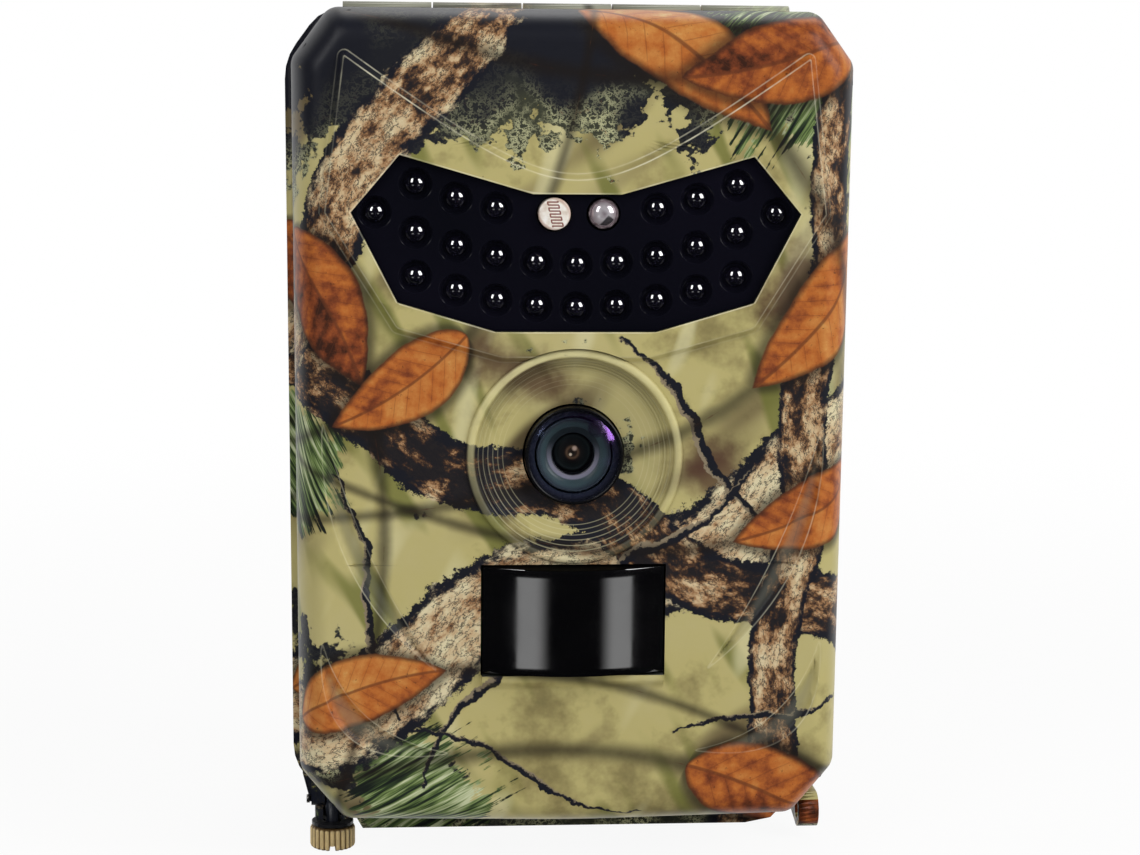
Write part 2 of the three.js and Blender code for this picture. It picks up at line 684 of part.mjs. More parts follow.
const pirLedge = () => alongX([
  point(FRONT_Y - PIR_LEDGE_RISE, pirBottom - GAP),
  point(FRONT_Y + WALL / 2, pirBottom - GAP),
  point(FRONT_Y + WALL / 2, pirBottom - GAP - PIR_LEDGE_HEIGHT * 2),
  point(FRONT_Y, pirBottom - GAP - PIR_LEDGE_HEIGHT * 2),
  point(FRONT_Y - PIR_LEDGE_RISE, pirBottom - GAP - PIR_LEDGE_HEIGHT / 2),
].reverse(), -PIR_WIDTH / 2, PIR_WIDTH / 2);

const mainBoardFrontY = COVER_FRONT_Y - MAIN_BOARD_SETBACK;
const mainPosts = () => [
  [1, MAIN_BOARD_BOTTOM + MAIN_POST_INSET], [-1, MAIN_BOARD_BOTTOM + MAIN_POST_INSET],
  [1, MAIN_BOARD_TOP - MAIN_POST_INSET], [-1, MAIN_BOARD_TOP - MAIN_POST_INSET],
].map(([side, z]) => cylinderY(BOARD_POST_RADIUS, FRONT_Y + WALL / 2, mainBoardFrontY - GAP,
  side * (MAIN_BOARD_HALF - MAIN_POST_INSET), z, 12));

// Ears under the door's lower left corner, which hold the swing bolt's pin
const earLeftX = BOLT_X - BOLT_EYE_LENGTH / 2 - GAP;
const earRightX = BOLT_X + BOLT_EYE_LENGTH / 2 + GAP;

function ears() {
  const profile = [
    ...circle(BOLT_Y, BOLT_PIN_Z, EAR_RADIUS, 16).filter((p) => p.y <= BOLT_PIN_Z + HALF_CIRCLE_MARGIN),
  ].sort((a, b) => a.x - b.x);
  profile.push(point(BOLT_Y + EAR_RADIUS, BOLT_PIN_Z + EAR_ROOT_RISE));
  profile.push(point(BOLT_Y - EAR_RADIUS, BOLT_PIN_Z + EAR_ROOT_RISE));
  return [
    alongX(profile, earLeftX - EAR_THICK, earLeftX),
    alongX(profile, earRightX, earRightX + EAR_THICK),
  ];
}

// Room for the bolt's eye where the ears' roots and the housing's corner would touch it
const eyePocket = () => alongX(circle(BOLT_Y, BOLT_PIN_Z, BOLT_EYE_RADIUS + GAP, 20), earLeftX, earRightX);

const pinBore = () => alongX(circle(BOLT_Y, BOLT_PIN_Z, BOLT_PIN_RADIUS + GAP / 2, 12),
  earLeftX - EAR_THICK - OVERRUN, earRightX + EAR_THICK + GAP);

function addDoorShell() {
  const shell = build(doorShell(), {
    add: [
      hingeBand(DOOR_BACK_Y - HINGE_BLOCK_DEPTH, DOOR_BACK_Y, doorOutline(WALL / 2)),
      doorLedge(), hood(), dishBoss(), dishLip(), pirLedge(), ...mainPosts(), ...ears(),
    ],
    cut: [
      alongY(windowOutline(), HOOD_Y - OVERRUN, FRONT_Y + EDGE_DEPTH), dishCut(), pirOpening(),
      groove(UPPER_GROOVE, 1), groove(UPPER_GROOVE, -1), groove(LOWER_GROOVE, 1), groove(LOWER_GROOVE, -1),
      ...hingeRelief(), ...topEdgeRelief(), eyePocket(), pinBore(),
    ],
  });
  const hung = build(shell, { add: knuckles(true) });
  addMesh('front_shell', build(hung, { cut: [hingeBore()] }), housingPaint);
}

// Infrared window and its emitters

const panelFrontY = HOOD_Y + PANEL_SINK;
const flangeFrontY = FRONT_Y + WALL + GAP;
const flangeBackY = flangeFrontY + PANEL_FLANGE_THICK;
const ledBoardFrontY = FRONT_Y + LED_BOARD_DEPTH;
const sensorZ = WINDOW_DIP_Z - SENSOR_DROP;

// The rows of emitters curve up towards the sides.
const rowZ = (row, column) =>
  WINDOW_FOOT_Z + (WINDOW_TOP_Z - WINDOW_FOOT_Z) * LED_ROWS[row].heightShare + LED_ROW_BOW * column * column;

// Every emitter's place as [x, z]: the middle column once, the others on both sides
function emitterPlaces() {
  const rows = LED_ROWS.flatMap(({ columns }, row) =>
    columns.map((column) => [column * LED_PITCH, rowZ(row, column)]));
  return [...rows, [LED_TIP_COLUMN * LED_PITCH, WINDOW_SIDE_Z]]
    .flatMap(([x, z]) => (x === 0 ? [[x, z]] : [[-x, z], [x, z]]))
    .sort((a, b) => b[1] - a[1] || a[0] - b[0]);
}

const postPlaces = () => [
  [POST_COLUMN_INNER * LED_PITCH, (rowZ(1, 2) + rowZ(2, 2)) / 2],
  [POST_COLUMN_OUTER * LED_PITCH, (rowZ(0, 4) + rowZ(1, 4)) / 2],
];

const cup = ([x, z]) => turnedY([
  [0, -OVERRUN],
  [CUP_RADIUS, -OVERRUN],
  [CUP_RADIUS, 0],
  [LED_RADIUS + GAP, CUP_DEPTH],
  [LED_RADIUS + GAP, flangeBackY - panelFrontY + OVERRUN],
  [0, flangeBackY - panelFrontY + OVERRUN],
], LED_SEGMENTS, x, panelFrontY, z);

function addInfraredPanel() {
  const face = alongY(inset(windowOutline(), GAP), panelFrontY, flangeFrontY + GAP);
  const flange = alongY(inset(windowOutline(), -PANEL_FLANGE), flangeFrontY, flangeBackY);
  const posts = postPlaces()
    .flatMap(([x, z]) => [[x, z], [-x, z]])
    .map(([x, z]) => cylinderY(PANEL_POST_RADIUS, flangeFrontY, ledBoardFrontY - GAP, x, z, 10));
  const sensorHoles = [[LIGHT_SENSOR_X, LIGHT_SENSOR_RADIUS], [INDICATOR_X, INDICATOR_RADIUS]]
    .map(([x, radius]) => cylinderY(radius + SENSOR_CLEARANCE, panelFrontY - OVERRUN, flangeBackY + OVERRUN,
      x, sensorZ, 20));
  addMesh('ir_panel', build(face, { add: [flange, ...posts], cut: [...emitterPlaces().map(cup), ...sensorHoles] }),
    blackPlastic);
}

// A domed body of revolution that stands on a board: dome, straight side and a flange at its foot
function domed(radius, domeHeight, length, flangeRadius, flangeThick, domeSteps) {
  const profile = [];
  for (let i = 0; i <= domeSteps; i += 1) {
    const angle = (Math.PI / 2) * (i / domeSteps);
    profile.push([radius * Math.sin(angle), domeHeight * (1 - Math.cos(angle))]);
  }
  return [...profile, [radius, length - flangeThick], [flangeRadius, length - flangeThick],
    [flangeRadius, length], [0, length]];
}

function addEmitters() {
  const length = ledBoardFrontY - GAP - panelFrontY;
  const profile = domed(LED_RADIUS, LED_RADIUS, length, LED_FLANGE_RADIUS, LED_FLANGE_THICK, 2);
  const emitter = turned(profile, LED_SEGMENTS);
  emitterPlaces().forEach(([x, z], i) => {
    const mesh = addMesh(`ir_led_${String(i + 1).padStart(2, '0')}`, emitter, darkGloss);
    mesh.position.set(x, panelFrontY, z);
  });
}

function addLedBoard() {
  const board = alongY(inset(windowOutline(), LED_BOARD_MARGIN), ledBoardFrontY, ledBoardFrontY + BOARD_THICK);
  addMesh('led_board', board, boardGreen);
}

// The light sensor is a disc on a stem; the indicator beside it is a domed lamp.
function addSensors() {
  const length = ledBoardFrontY - GAP - panelFrontY + SENSOR_PROUD;
  const disc = [
    [0, 0], [LIGHT_SENSOR_RADIUS - SENSOR_EDGE, 0], [LIGHT_SENSOR_RADIUS, SENSOR_EDGE],
    [LIGHT_SENSOR_RADIUS, SENSOR_DISC_THICK], [SENSOR_STEM_RADIUS, SENSOR_DISC_THICK],
    [SENSOR_STEM_RADIUS, length], [0, length],
  ];
  addMesh('light_sensor', turnedY(disc, 20, LIGHT_SENSOR_X, panelFrontY - SENSOR_PROUD, sensorZ), sensorFace);
  const lamp = domed(INDICATOR_RADIUS, INDICATOR_CROWN, length, INDICATOR_RADIUS, LED_FLANGE_THICK, 4);
  lamp.splice(-4, 2);
  addMesh('indicator_led', turnedY(lamp, 20, INDICATOR_X, panelFrontY - SENSOR_PROUD, sensorZ), clearPlastic);
}

// Lens

const bezelFrontY = FRONT_Y + BEZEL_SINK;

function addLens() {
  const seatRadius = BEZEL_RADIUS - BEZEL_RIM;
  addMesh('lens_bezel', turnedY([
    [BEZEL_BORE, BEZEL_SEAT],
    [seatRadius, BEZEL_SEAT],
    [seatRadius, 0],
    [BEZEL_RADIUS, 0],
    [BEZEL_RADIUS, BEZEL_LENGTH],
    [BEZEL_BORE, BEZEL_LENGTH],
    [BEZEL_BORE, BEZEL_SEAT],
  ], LENS_SEGMENTS, 0, bezelFrontY, LENS_Z), blackPlastic);
  // The barrel's mouth narrows to a flat ring, and the pupil is sunk behind it.
  const barrelFrontY = bezelFrontY + BEZEL_SEAT;
  addMesh('lens_barrel', turnedY([
    [BARREL_RING_OUTER, BARREL_MOUTH_DEPTH],
    [BARREL_RADIUS - BARREL_LIP, 0],
    [BARREL_RADIUS, 0],
    [BARREL_RADIUS, BARREL_LENGTH],
    [0, BARREL_LENGTH],
    [0, BARREL_MOUTH_DEPTH + BARREL_PUPIL_DEPTH],
    [BARREL_RING_INNER, BARREL_MOUTH_DEPTH + BARREL_PUPIL_DEPTH],
    [BARREL_RING_INNER, BARREL_MOUTH_DEPTH],
    [BARREL_RING_OUTER, BARREL_MOUTH_DEPTH],
  ], LENS_SEGMENTS, 0, barrelFrontY, LENS_Z), blackMetal);
  // The front glass stands in the bezel's seat and is crowned towards the front.
  const glassRadius = seatRadius - GAP;
  const crown = Array.from({ length: GLASS_STEPS + 1 }, (_, i) => {
    const share = i / GLASS_STEPS;
    return [glassRadius * share, GLASS_CROWN * share * share];
  });
  addMesh('lens_glass', turnedY([...crown, [glassRadius, GLASS_CROWN + GLASS_EDGE], [0, GLASS_CROWN + GLASS_EDGE]],
    LENS_SEGMENTS, 0, bezelFrontY - GLASS_CROWN, LENS_Z), lensGlass);
  const half = HOLDER_SIZE / 2;
  const holderBackY = mainBoardFrontY - GAP;
  const holder = alongY(rounded(rectangle(half, LENS_Z - half, LENS_Z + half), HOLDER_ROUND),
    holderBackY - HOLDER_LENGTH, holderBackY);
  const bore = cylinderY(BARREL_RADIUS + GAP, holderBackY - HOLDER_LENGTH - OVERRUN,
    barrelFrontY + BARREL_LENGTH + GAP, 0, LENS_Z, 32);
  addMesh('lens_holder', build(holder, { cut: [bore] }), blackPlastic);
}

// Motion sensor: a curved window, closed above and below, and the sensing can behind it

function bowedOutline(halfWidth, frontRise, backY) {
  const outline = Array.from({ length: PIR_STEPS + 1 }, (_, i) => {
    const share = (2 * i) / PIR_STEPS - 1;
    return point(halfWidth * share, FRONT_Y - frontRise * (1 - share * share));
  });
  return [...outline, point(halfWidth, backY), point(-halfWidth, backY)];
}

function addMotionSensor() {
  const half = PIR_WIDTH / 2;
  const flangeBack = flangeFrontY + PIR_FLANGE;
  const window = build(alongZ(bowedOutline(half, PIR_BULGE, flangeBack), pirBottom, PIR_TOP), {
    add: [alongY(rectangle(half + PIR_FLANGE, pirBottom - PIR_FLANGE, PIR_TOP + PIR_FLANGE),
      flangeFrontY, flangeBack)],
    cut: [alongZ(bowedOutline(half - PIR_SKIN, PIR_BULGE - PIR_SKIN, flangeBack + OVERRUN),
      pirBottom + PIR_SKIN, PIR_TOP - PIR_SKIN)],
  });
  addMesh('pir_window', window, darkGloss);
  const canZ = PIR_TOP - PIR_HEIGHT / 2;
  addMesh('pir_sensor', turnedY([
    [0, 0], [PIR_CAN_RADIUS - PIR_CAN_FLANGE, 0], [PIR_CAN_RADIUS, PIR_CAN_FLANGE],
    [PIR_CAN_RADIUS, PIR_CAN_LENGTH - PIR_CAN_FLANGE_THICK],
    [PIR_CAN_RADIUS + PIR_CAN_FLANGE, PIR_CAN_LENGTH - PIR_CAN_FLANGE_THICK],
    [PIR_CAN_RADIUS + PIR_CAN_FLANGE, PIR_CAN_LENGTH], [0, PIR_CAN_LENGTH],
  ], 24, 0, mainBoardFrontY - GAP - PIR_CAN_LENGTH, canZ), steel);
}

// Boards, inner cover and its controls

function addMainBoard() {
  addMesh('main_board', box(-MAIN_BOARD_HALF, MAIN_BOARD_HALF, mainBoardFrontY, mainBoardFrontY + BOARD_THICK,
    MAIN_BOARD_BOTTOM, MAIN_BOARD_TOP), boardGreen);
}

const buttonXs = Array.from({ length: BUTTON_COUNT }, (_, i) => (i - (BUTTON_COUNT - 1) / 2) * BUTTON_PITCH);

function addInnerCover() {
  const window = rectangle(DISPLAY_WIDTH / 2, DISPLAY_Z - DISPLAY_HEIGHT / 2, DISPLAY_Z + DISPLAY_HEIGHT / 2);
  const slot = rectangle(SWITCH_WIDTH / 2 + GAP, SWITCH_Z - SWITCH_HEIGHT / 2 - GAP,
    SWITCH_Z + SWITCH_HEIGHT / 2 + SWITCH_TRAVEL + GAP);
  const buttonHoles = buttonXs.map((x) => circle(x, BUTTON_Z, BUTTON_RADIUS + GAP, 20));
  const plate = alongY(rimOutline(WALL + GAP), COVER_FRONT_Y, COVER_BACK_Y, [window, slot, ...buttonHoles]);
  const grips = [-1, 1].map((side) => box(
    side * COVER_RIB_X - COVER_RIB_WIDTH / 2, side * COVER_RIB_X + COVER_RIB_WIDTH / 2,
    COVER_FRONT_Y + COVER_THICK / 2, COVER_BACK_Y + COVER_RIB_RISE, SWITCH_Z, BUTTON_Z));
  addMesh('inner_cover', build(plate, { add: grips }), coverPlastic);
}

function addDisplay() {
  const flangeBack = COVER_FRONT_Y - GAP;
  const pane = box(-DISPLAY_WIDTH / 2 + GAP, DISPLAY_WIDTH / 2 - GAP, flangeBack - OVERRUN / 2,
    COVER_BACK_Y - DISPLAY_SINK, DISPLAY_Z - DISPLAY_HEIGHT / 2 + GAP, DISPLAY_Z + DISPLAY_HEIGHT / 2 - GAP);
  const frame = box(-DISPLAY_WIDTH / 2 - DISPLAY_MARGIN, DISPLAY_WIDTH / 2 + DISPLAY_MARGIN,
    flangeBack - DISPLAY_THICK, flangeBack, DISPLAY_Z - DISPLAY_HEIGHT / 2 - DISPLAY_MARGIN,
    DISPLAY_Z + DISPLAY_HEIGHT / 2 + DISPLAY_MARGIN);
  addMesh('display', build(pane, { add: [frame] }), displayFace);
}

// Profile of a button from its crown, which faces the rear half, to its foot behind the cover
function addButtons() {
  const length = COVER_THICK + BUTTON_PROUD + GAP + BUTTON_FLANGE_THICK;
  buttonXs.forEach((x, i) => {
    addMesh(`button_${i + 1}`, turnedY([
      [0, 0], [BUTTON_RADIUS + BUTTON_FLANGE, 0], [BUTTON_RADIUS + BUTTON_FLANGE, BUTTON_FLANGE_THICK],
      [BUTTON_RADIUS, BUTTON_FLANGE_THICK], [BUTTON_RADIUS, length - BUTTON_EDGE],
      [BUTTON_RADIUS - BUTTON_EDGE, length], [0, length],
    ], 20, x, COVER_BACK_Y + BUTTON_PROUD - length, BUTTON_Z), buttonRubber);
  });
}

function addModeSwitch() {
  const half = SWITCH_WIDTH / 2;
  const low = SWITCH_Z - SWITCH_HEIGHT / 2;
  const high = SWITCH_Z + SWITCH_HEIGHT / 2;
  const footBack = COVER_FRONT_Y - GAP;
  const nub = box(-half, half, footBack - SWITCH_FOOT_THICK / 2, COVER_BACK_Y + SWITCH_PROUD, low, high);
  const foot = box(-half - SWITCH_FOOT, half + SWITCH_FOOT, footBack - SWITCH_FOOT_THICK, footBack, low, high);
  const grips = [-1, 0, 1].map((row) => {
    const z = SWITCH_Z + (row * SWITCH_HEIGHT) / 3;
    return box(-half - OVERRUN, half + OVERRUN, COVER_BACK_Y + SWITCH_PROUD - SWITCH_GRIP,
      COVER_BACK_Y + SWITCH_PROUD + OVERRUN, z - SWITCH_GRIP / 2, z + SWITCH_GRIP / 2);
  });
  addMesh('mode_switch', build(nub, { add: [foot], cut: grips }), switchPlastic);
}

// Swing bolt: an eye on the ears' pin, a shank through the fork, a washer and a knurled nut

const forkTop = BOLT_PIN_Z - EAR_RADIUS - GAP;
const forkBottom = forkTop - FORK_THICK;
const washerTop = forkBottom - FORK_SLACK;
const nutTop = washerTop - WASHER_THICK - GAP;
const nutBottom = nutTop - NUT_HEIGHT;

function addSwingPin() {
  const left = earLeftX - EAR_THICK - PIN_HEAD_THICK;
  const shank = alongX(circle(BOLT_Y, BOLT_PIN_Z, BOLT_PIN_RADIUS, 12), left, earRightX + EAR_THICK);
  const head = alongX(circle(BOLT_Y, BOLT_PIN_Z, BOLT_PIN_RADIUS + PIN_HEAD_MARGIN, 12), left,
    left + PIN_HEAD_THICK - GAP);
  addMesh('swing_pin', build(shank, { add: [head] }), blackMetal);
}

function addSwingBolt() {
  const half = BOLT_EYE_LENGTH / 2;
  const eye = alongX(circle(BOLT_Y, BOLT_PIN_Z, BOLT_EYE_RADIUS, 20), BOLT_X - half, BOLT_X + half);
  const shank = alongZ(circle(BOLT_X, BOLT_Y, BOLT_SHANK_RADIUS, 16), nutBottom + NUT_SLOT_DEPTH + GAP,
    BOLT_PIN_Z - BOLT_PIN_RADIUS);
  const bore = alongX(circle(BOLT_Y, BOLT_PIN_Z, BOLT_PIN_RADIUS + GAP / 2, 12),
    BOLT_X - half - OVERRUN, BOLT_X + half + OVERRUN);
  addMesh('swing_bolt', build(eye, { add: [shank], cut: [bore] }), steel);
  addMesh('bolt_washer', turnedZ([
    [BOLT_SHANK_RADIUS + GAP, 0], [WASHER_RADIUS, 0], [WASHER_RADIUS, WASHER_THICK],
    [BOLT_SHANK_RADIUS + GAP, WASHER_THICK], [BOLT_SHANK_RADIUS + GAP, 0],
  ], 24, BOLT_X, BOLT_Y, washerTop - WASHER_THICK), blackMetal);
}

// A knurled cylinder: its straight knurl is a zigzag of ridges and grooves.
function addNut() {
  const fluted = (share) => Array.from({ length: NUT_FLUTES * 2 }, (_, i) => {
    const angle = (Math.PI * i) / NUT_FLUTES;
    const radius = share * (i % 2 === 0 ? NUT_RADIUS : NUT_RADIUS - NUT_FLUTE_DEPTH);
    return point(radius * Math.cos(angle), radius * Math.sin(angle));
  });
  const edgeShare = 1 - NUT_EDGE / NUT_RADIUS;
  const body = loft([
    { outline: fluted(edgeShare), y: -NUT_HEIGHT / 2 },
    { outline: fluted(1), y: -NUT_HEIGHT / 2 + NUT_EDGE },
    { outline: fluted(1), y: NUT_HEIGHT / 2 - NUT_EDGE },
    { outline: fluted(edgeShare), y: NUT_HEIGHT / 2 },
  ]).rotateX(Math.PI / 2).translate(BOLT_X, BOLT_Y, nutTop - NUT_HEIGHT / 2);
  const bore = alongZ(circle(BOLT_X, BOLT_Y, BOLT_SHANK_RADIUS + GAP, 16), nutBottom - OVERRUN, nutTop + OVERRUN);
  const slot = box(BOLT_X - NUT_SLOT_WIDTH / 2, BOLT_X + NUT_SLOT_WIDTH / 2, BOLT_Y - NUT_RADIUS - OVERRUN,
    BOLT_Y + NUT_RADIUS + OVERRUN, nutBottom - OVERRUN, nutBottom + NUT_SLOT_DEPTH);
  addMesh('brass_nut', build(body, { cut: [bore, slot] }), brass);
}

// Rear half of the housing, and where the battery tray stands in it

const trayBackY = BACK_Y - WALL - GAP - TRAY_STANDOFF;
const cellY = trayBackY - TRAY_WALL - GAP - CELL_RADIUS;
const trayInnerBottom = TRAY_BOTTOM + TRAY_WALL;
const cellBottom = trayInnerBottom + GAP + CONTACT_THICK + GAP;
const cellTop = cellBottom + CELL_LENGTH + CELL_NUB_LENGTH;
const trayInnerTop = cellTop + GAP + CONTACT_THICK + GAP;
const trayInnerHalf = (CELL_COUNT * CELL_SPACING) / 2 + GAP;

// What stands on the corners is joined before the hollow is cut, so none of it reaches inside.
function rearHollow(cornerPieces) {
  const outer = loft([
    { outline: rearOutline(0), y: REAR_FRONT_Y },
    { outline: rearOutline(0), y: BACK_Y - BACK_ROUND },
    { outline: rearOutline(BACK_INSET * BACK_SHOULDER_SHARE), y: BACK_Y - BACK_ROUND * BACK_SHOULDER_SHARE },
    { outline: rearOutline(BACK_INSET), y: BACK_Y },
  ]);
  const inner = loft([
    { outline: rearOutline(WALL), y: REAR_FRONT_Y - OVERRUN },
    { outline: rearOutline(WALL), y: BACK_Y - BACK_ROUND - WALL },
    { outline: rearOutline(BACK_INSET + WALL), y: BACK_Y - WALL },
  ]);
  return build(outer, { add: cornerPieces, cut: [inner] });
}

// The chin under the door, with one steep end and one long rounded one
function chin() {
  const top = DOOR_BOTTOM - GAP;
  return alongY([
    point(CHIN_LEFT - CHIN_SLOPE_LEFT, top),
    point(CHIN_LEFT, 0),
    point(CHIN_RIGHT, 0),
    point(CHIN_RIGHT + CHIN_SLOPE_RIGHT * (1 - CHIN_ROUND_SHARE), top * CHIN_ROUND_SHARE),
    point(CHIN_RIGHT + CHIN_SLOPE_RIGHT, top),
  ], PARTING_Y - CHIN_REACH, REAR_FRONT_Y + WALL);
}

const sealSeatY = PARTING_Y + SEAL_SEAT;
const rearLedge = () => alongY(rimOutline(WALL / 2), sealSeatY, sealSeatY + LEDGE_THICK,
  [rimOutline(WALL + LEDGE_WIDTH)]);

// The fork under the door's lower left corner: two prongs, open to the front, and a root in the rear half
function fork() {
  const slotHalf = BOLT_SHANK_RADIUS + GAP;
  const half = slotHalf + FORK_PRONG;
  const backY = REAR_FRONT_Y + FORK_ROOT_DEPTH;
  const plate = alongZ(rounded(boxOutline(BOLT_X - half, BOLT_X + half, BOLT_Y - FORK_NOSE, backY), FORK_PRONG),
    forkBottom, forkTop);
  const root = alongY([
    point(BOLT_X - half, forkBottom),
    point(BOLT_X + half, forkBottom),
    point(BOLT_X + half, forkTop + FORK_ROOT_RISE),
    point(BOLT_X - half - FORK_ROOT_FLARE, forkTop + FORK_ROOT_RISE),
    point(BOLT_X - half - FORK_ROOT_FLARE, forkTop + FORK_ROOT_RISE / 2),
    point(BOLT_X - half - FORK_ROOT_FLARE / 2, forkTop),
    point(BOLT_X - half, forkTop),
  ], REAR_FRONT_Y, backY);
  const slot = alongZ([
    ...circle(BOLT_X, BOLT_Y, slotHalf, 16).filter((p) => p.y >= BOLT_Y - HALF_CIRCLE_MARGIN),
    point(BOLT_X - slotHalf, BOLT_Y - FORK_NOSE - OVERRUN),
    point(BOLT_X + slotHalf, BOLT_Y - FORK_NOSE - OVERRUN),
  ], forkBottom - OVERRUN, forkTop + OVERRUN);
  return { add: [plate, root], cut: [slot] };
}

// The lanyard lug: a round eye ahead of the parting plane, on a tongue from the rear half
function lug() {
  const left = LUG_X - LUG_THICK / 2;
  const right = LUG_X + LUG_THICK / 2;
  const rootY = REAR_FRONT_Y + WALL;
  const tongue = [
    point(LUG_Y, LUG_Z - LUG_RADIUS),
    point(rootY, LUG_Z - LUG_RADIUS / 2),
    point(rootY, LUG_Z + LUG_RADIUS + LUG_ROOT_RISE),
    point(REAR_FRONT_Y, LUG_Z + LUG_RADIUS + LUG_ROOT_RISE),
    point(REAR_FRONT_Y, LUG_Z + LUG_RADIUS),
    point(LUG_Y, LUG_Z + LUG_RADIUS),
  ];
  const eye = circle(LUG_Y, LUG_Z, LUG_RADIUS, 24);
  const hole = circle(LUG_Y, LUG_Z, LUG_HOLE_RADIUS, 16);
  return {
    add: [alongX(tongue, left, right), alongX(eye, left, right)],
    cut: [alongX(hole, left - OVERRUN, right + OVERRUN)],
  };
}

function strapRibs() {
  const outer = BACK_Y + RIB_RISE;
  const profile = [
    point(BACK_Y - WALL / 2, RIB_BOTTOM), point(outer, RIB_BOTTOM + RIB_RISE / 2),
    point(outer, RIB_TOP - RIB_RISE / 2), point(BACK_Y - WALL / 2, RIB_TOP),
  ];
  const add = [];
  const cut = [];
  for (const side of [-1, 1]) {
    const left = side * RIB_X - RIB_WIDTH / 2;
    const right = side * RIB_X + RIB_WIDTH / 2;
    add.push(alongX(rounded(profile, RIB_ROUND), left, right));
    for (const z of [STRAP_UPPER_Z, STRAP_LOWER_Z]) {
      cut.push(box(left - OVERRUN, right + OVERRUN, BACK_Y, BACK_Y + STRAP_SLOT_DEPTH,
        z - STRAP_SLOT_HEIGHT / 2, z + STRAP_SLOT_HEIGHT / 2));
    }
  }
  return { add, cut };
}

// The pocket for the rubber plug in the underside, the pad above it and the way through
function plugSeat() {
  const half = PLUG_WIDTH / 2 + PLUG_FLANGE + GAP;
  const depth = PLUG_DEPTH / 2 + PLUG_FLANGE + GAP;
  const pocketTop = PLUG_FLANGE_THICK + GAP;
  return {
    add: [box(PLUG_X - half - WALL, PLUG_X + half + WALL, PLUG_Y - depth - WALL, PLUG_Y + depth + WALL,
      WALL / 2, pocketTop + WALL)],
    cut: [
      alongZ(rounded(boxOutline(PLUG_X - half, PLUG_X + half, PLUG_Y - depth, PLUG_Y + depth), PLUG_FLANGE),
        -OVERRUN, pocketTop),
      box(PLUG_X - PLUG_WIDTH / 2 - GAP, PLUG_X + PLUG_WIDTH / 2 + GAP, PLUG_Y - PLUG_DEPTH / 2 - GAP,
        PLUG_Y + PLUG_DEPTH / 2 + GAP, 0, pocketTop + WALL + OVERRUN),
    ],
  };
}

function addRearShell() {
  const boss = alongZ(circle(0, 0, INSERT_RADIUS + GAP + SOCKET_WALL, 24), WALL / 2, INSERT_LENGTH + GAP + WALL);
  const bossHole = alongZ(circle(0, 0, INSERT_RADIUS + GAP, 24), -OVERRUN, INSERT_LENGTH + GAP);
  const trayPosts = [-1, 1].map((side) => box(side * TRAY_POST_X - WALL, side * TRAY_POST_X + WALL,
    trayBackY + GAP, BACK_Y - WALL / 2, TRAY_BOTTOM + WALL, TRAY_BOTTOM + CELL_LENGTH));
  const corners = [fork(), lug()];
  const parts = [strapRibs(), plugSeat()];
  const band = hingeBand(REAR_FRONT_Y, REAR_FRONT_Y + HINGE_BLOCK_DEPTH, rearOutline(WALL / 2));
  const hollow = rearHollow(corners.flatMap((part) => part.add));
  const shell = build(hollow, {
    add: [band, rearLedge(), chin(), boss, ...trayPosts, ...parts.flatMap((part) => part.add)],
    cut: [bossHole, ...[...corners, ...parts].flatMap((part) => part.cut), ...hingeRelief()],
  });
  addMesh('rear_shell', build(build(shell, { add: knuckles(false) }), { cut: [hingeBore()] }), housingPaint);
}

function addSeal() {
  addMesh('gasket', alongY(rimOutline(RIM_INSET), COVER_BACK_Y + GAP, sealSeatY - GAP,
    [rimOutline(RIM_INSET + SEAL_WIDTH)]), sealRubber);
}

function addTripodInsert() {
  addMesh('tripod_insert', turnedZ([
    [SOCKET_RADIUS, 0], [INSERT_RADIUS, 0], [INSERT_RADIUS, INSERT_LENGTH], [0, INSERT_LENGTH],
    [0, INSERT_LENGTH - SOCKET_WALL / 2], [SOCKET_RADIUS, INSERT_LENGTH - SOCKET_WALL / 2], [SOCKET_RADIUS, 0],
  ], 24, 0, 0, 0), brass);
}

function addPortPlug() {
  const halfWidth = PLUG_WIDTH / 2;
  const halfDepth = PLUG_DEPTH / 2;
  const core = alongZ(rounded(boxOutline(PLUG_X - halfWidth, PLUG_X + halfWidth, PLUG_Y - halfDepth,
    PLUG_Y + halfDepth), PLUG_FLANGE), 0, PLUG_FLANGE_THICK + GAP + WALL);
  const flange = alongZ(rounded(boxOutline(PLUG_X - halfWidth - PLUG_FLANGE, PLUG_X + halfWidth + PLUG_FLANGE,
    PLUG_Y - halfDepth - PLUG_FLANGE, PLUG_Y + halfDepth + PLUG_FLANGE), PLUG_FLANGE), 0, PLUG_FLANGE_THICK);
  const nick = box(PLUG_X - PLUG_TAB / 2, PLUG_X + PLUG_TAB / 2, PLUG_Y - halfDepth - PLUG_FLANGE - OVERRUN,
    PLUG_Y - halfDepth, -OVERRUN, PLUG_FLANGE_THICK / 2);
  addMesh('port_plug', build(core, { add: [flange], cut: [nick] }), sealRubber);
}

// Batteries: cells side by side in an open tray, with a contact strip above and below them

function addBatteryTray() {
  const half = trayInnerHalf + TRAY_WALL;
  const frontY = cellY - CELL_RADIUS * TRAY_FRONT_SHARE;
  const tray = box(-half, half, frontY, trayBackY, TRAY_BOTTOM, trayInnerTop + TRAY_WALL);
  const hollow = box(-trayInnerHalf, trayInnerHalf, frontY - OVERRUN, trayBackY - TRAY_WALL,
    trayInnerBottom, trayInnerTop);
  addMesh('battery_tray', build(tray, { cut: [hollow] }), blackPlastic);
}

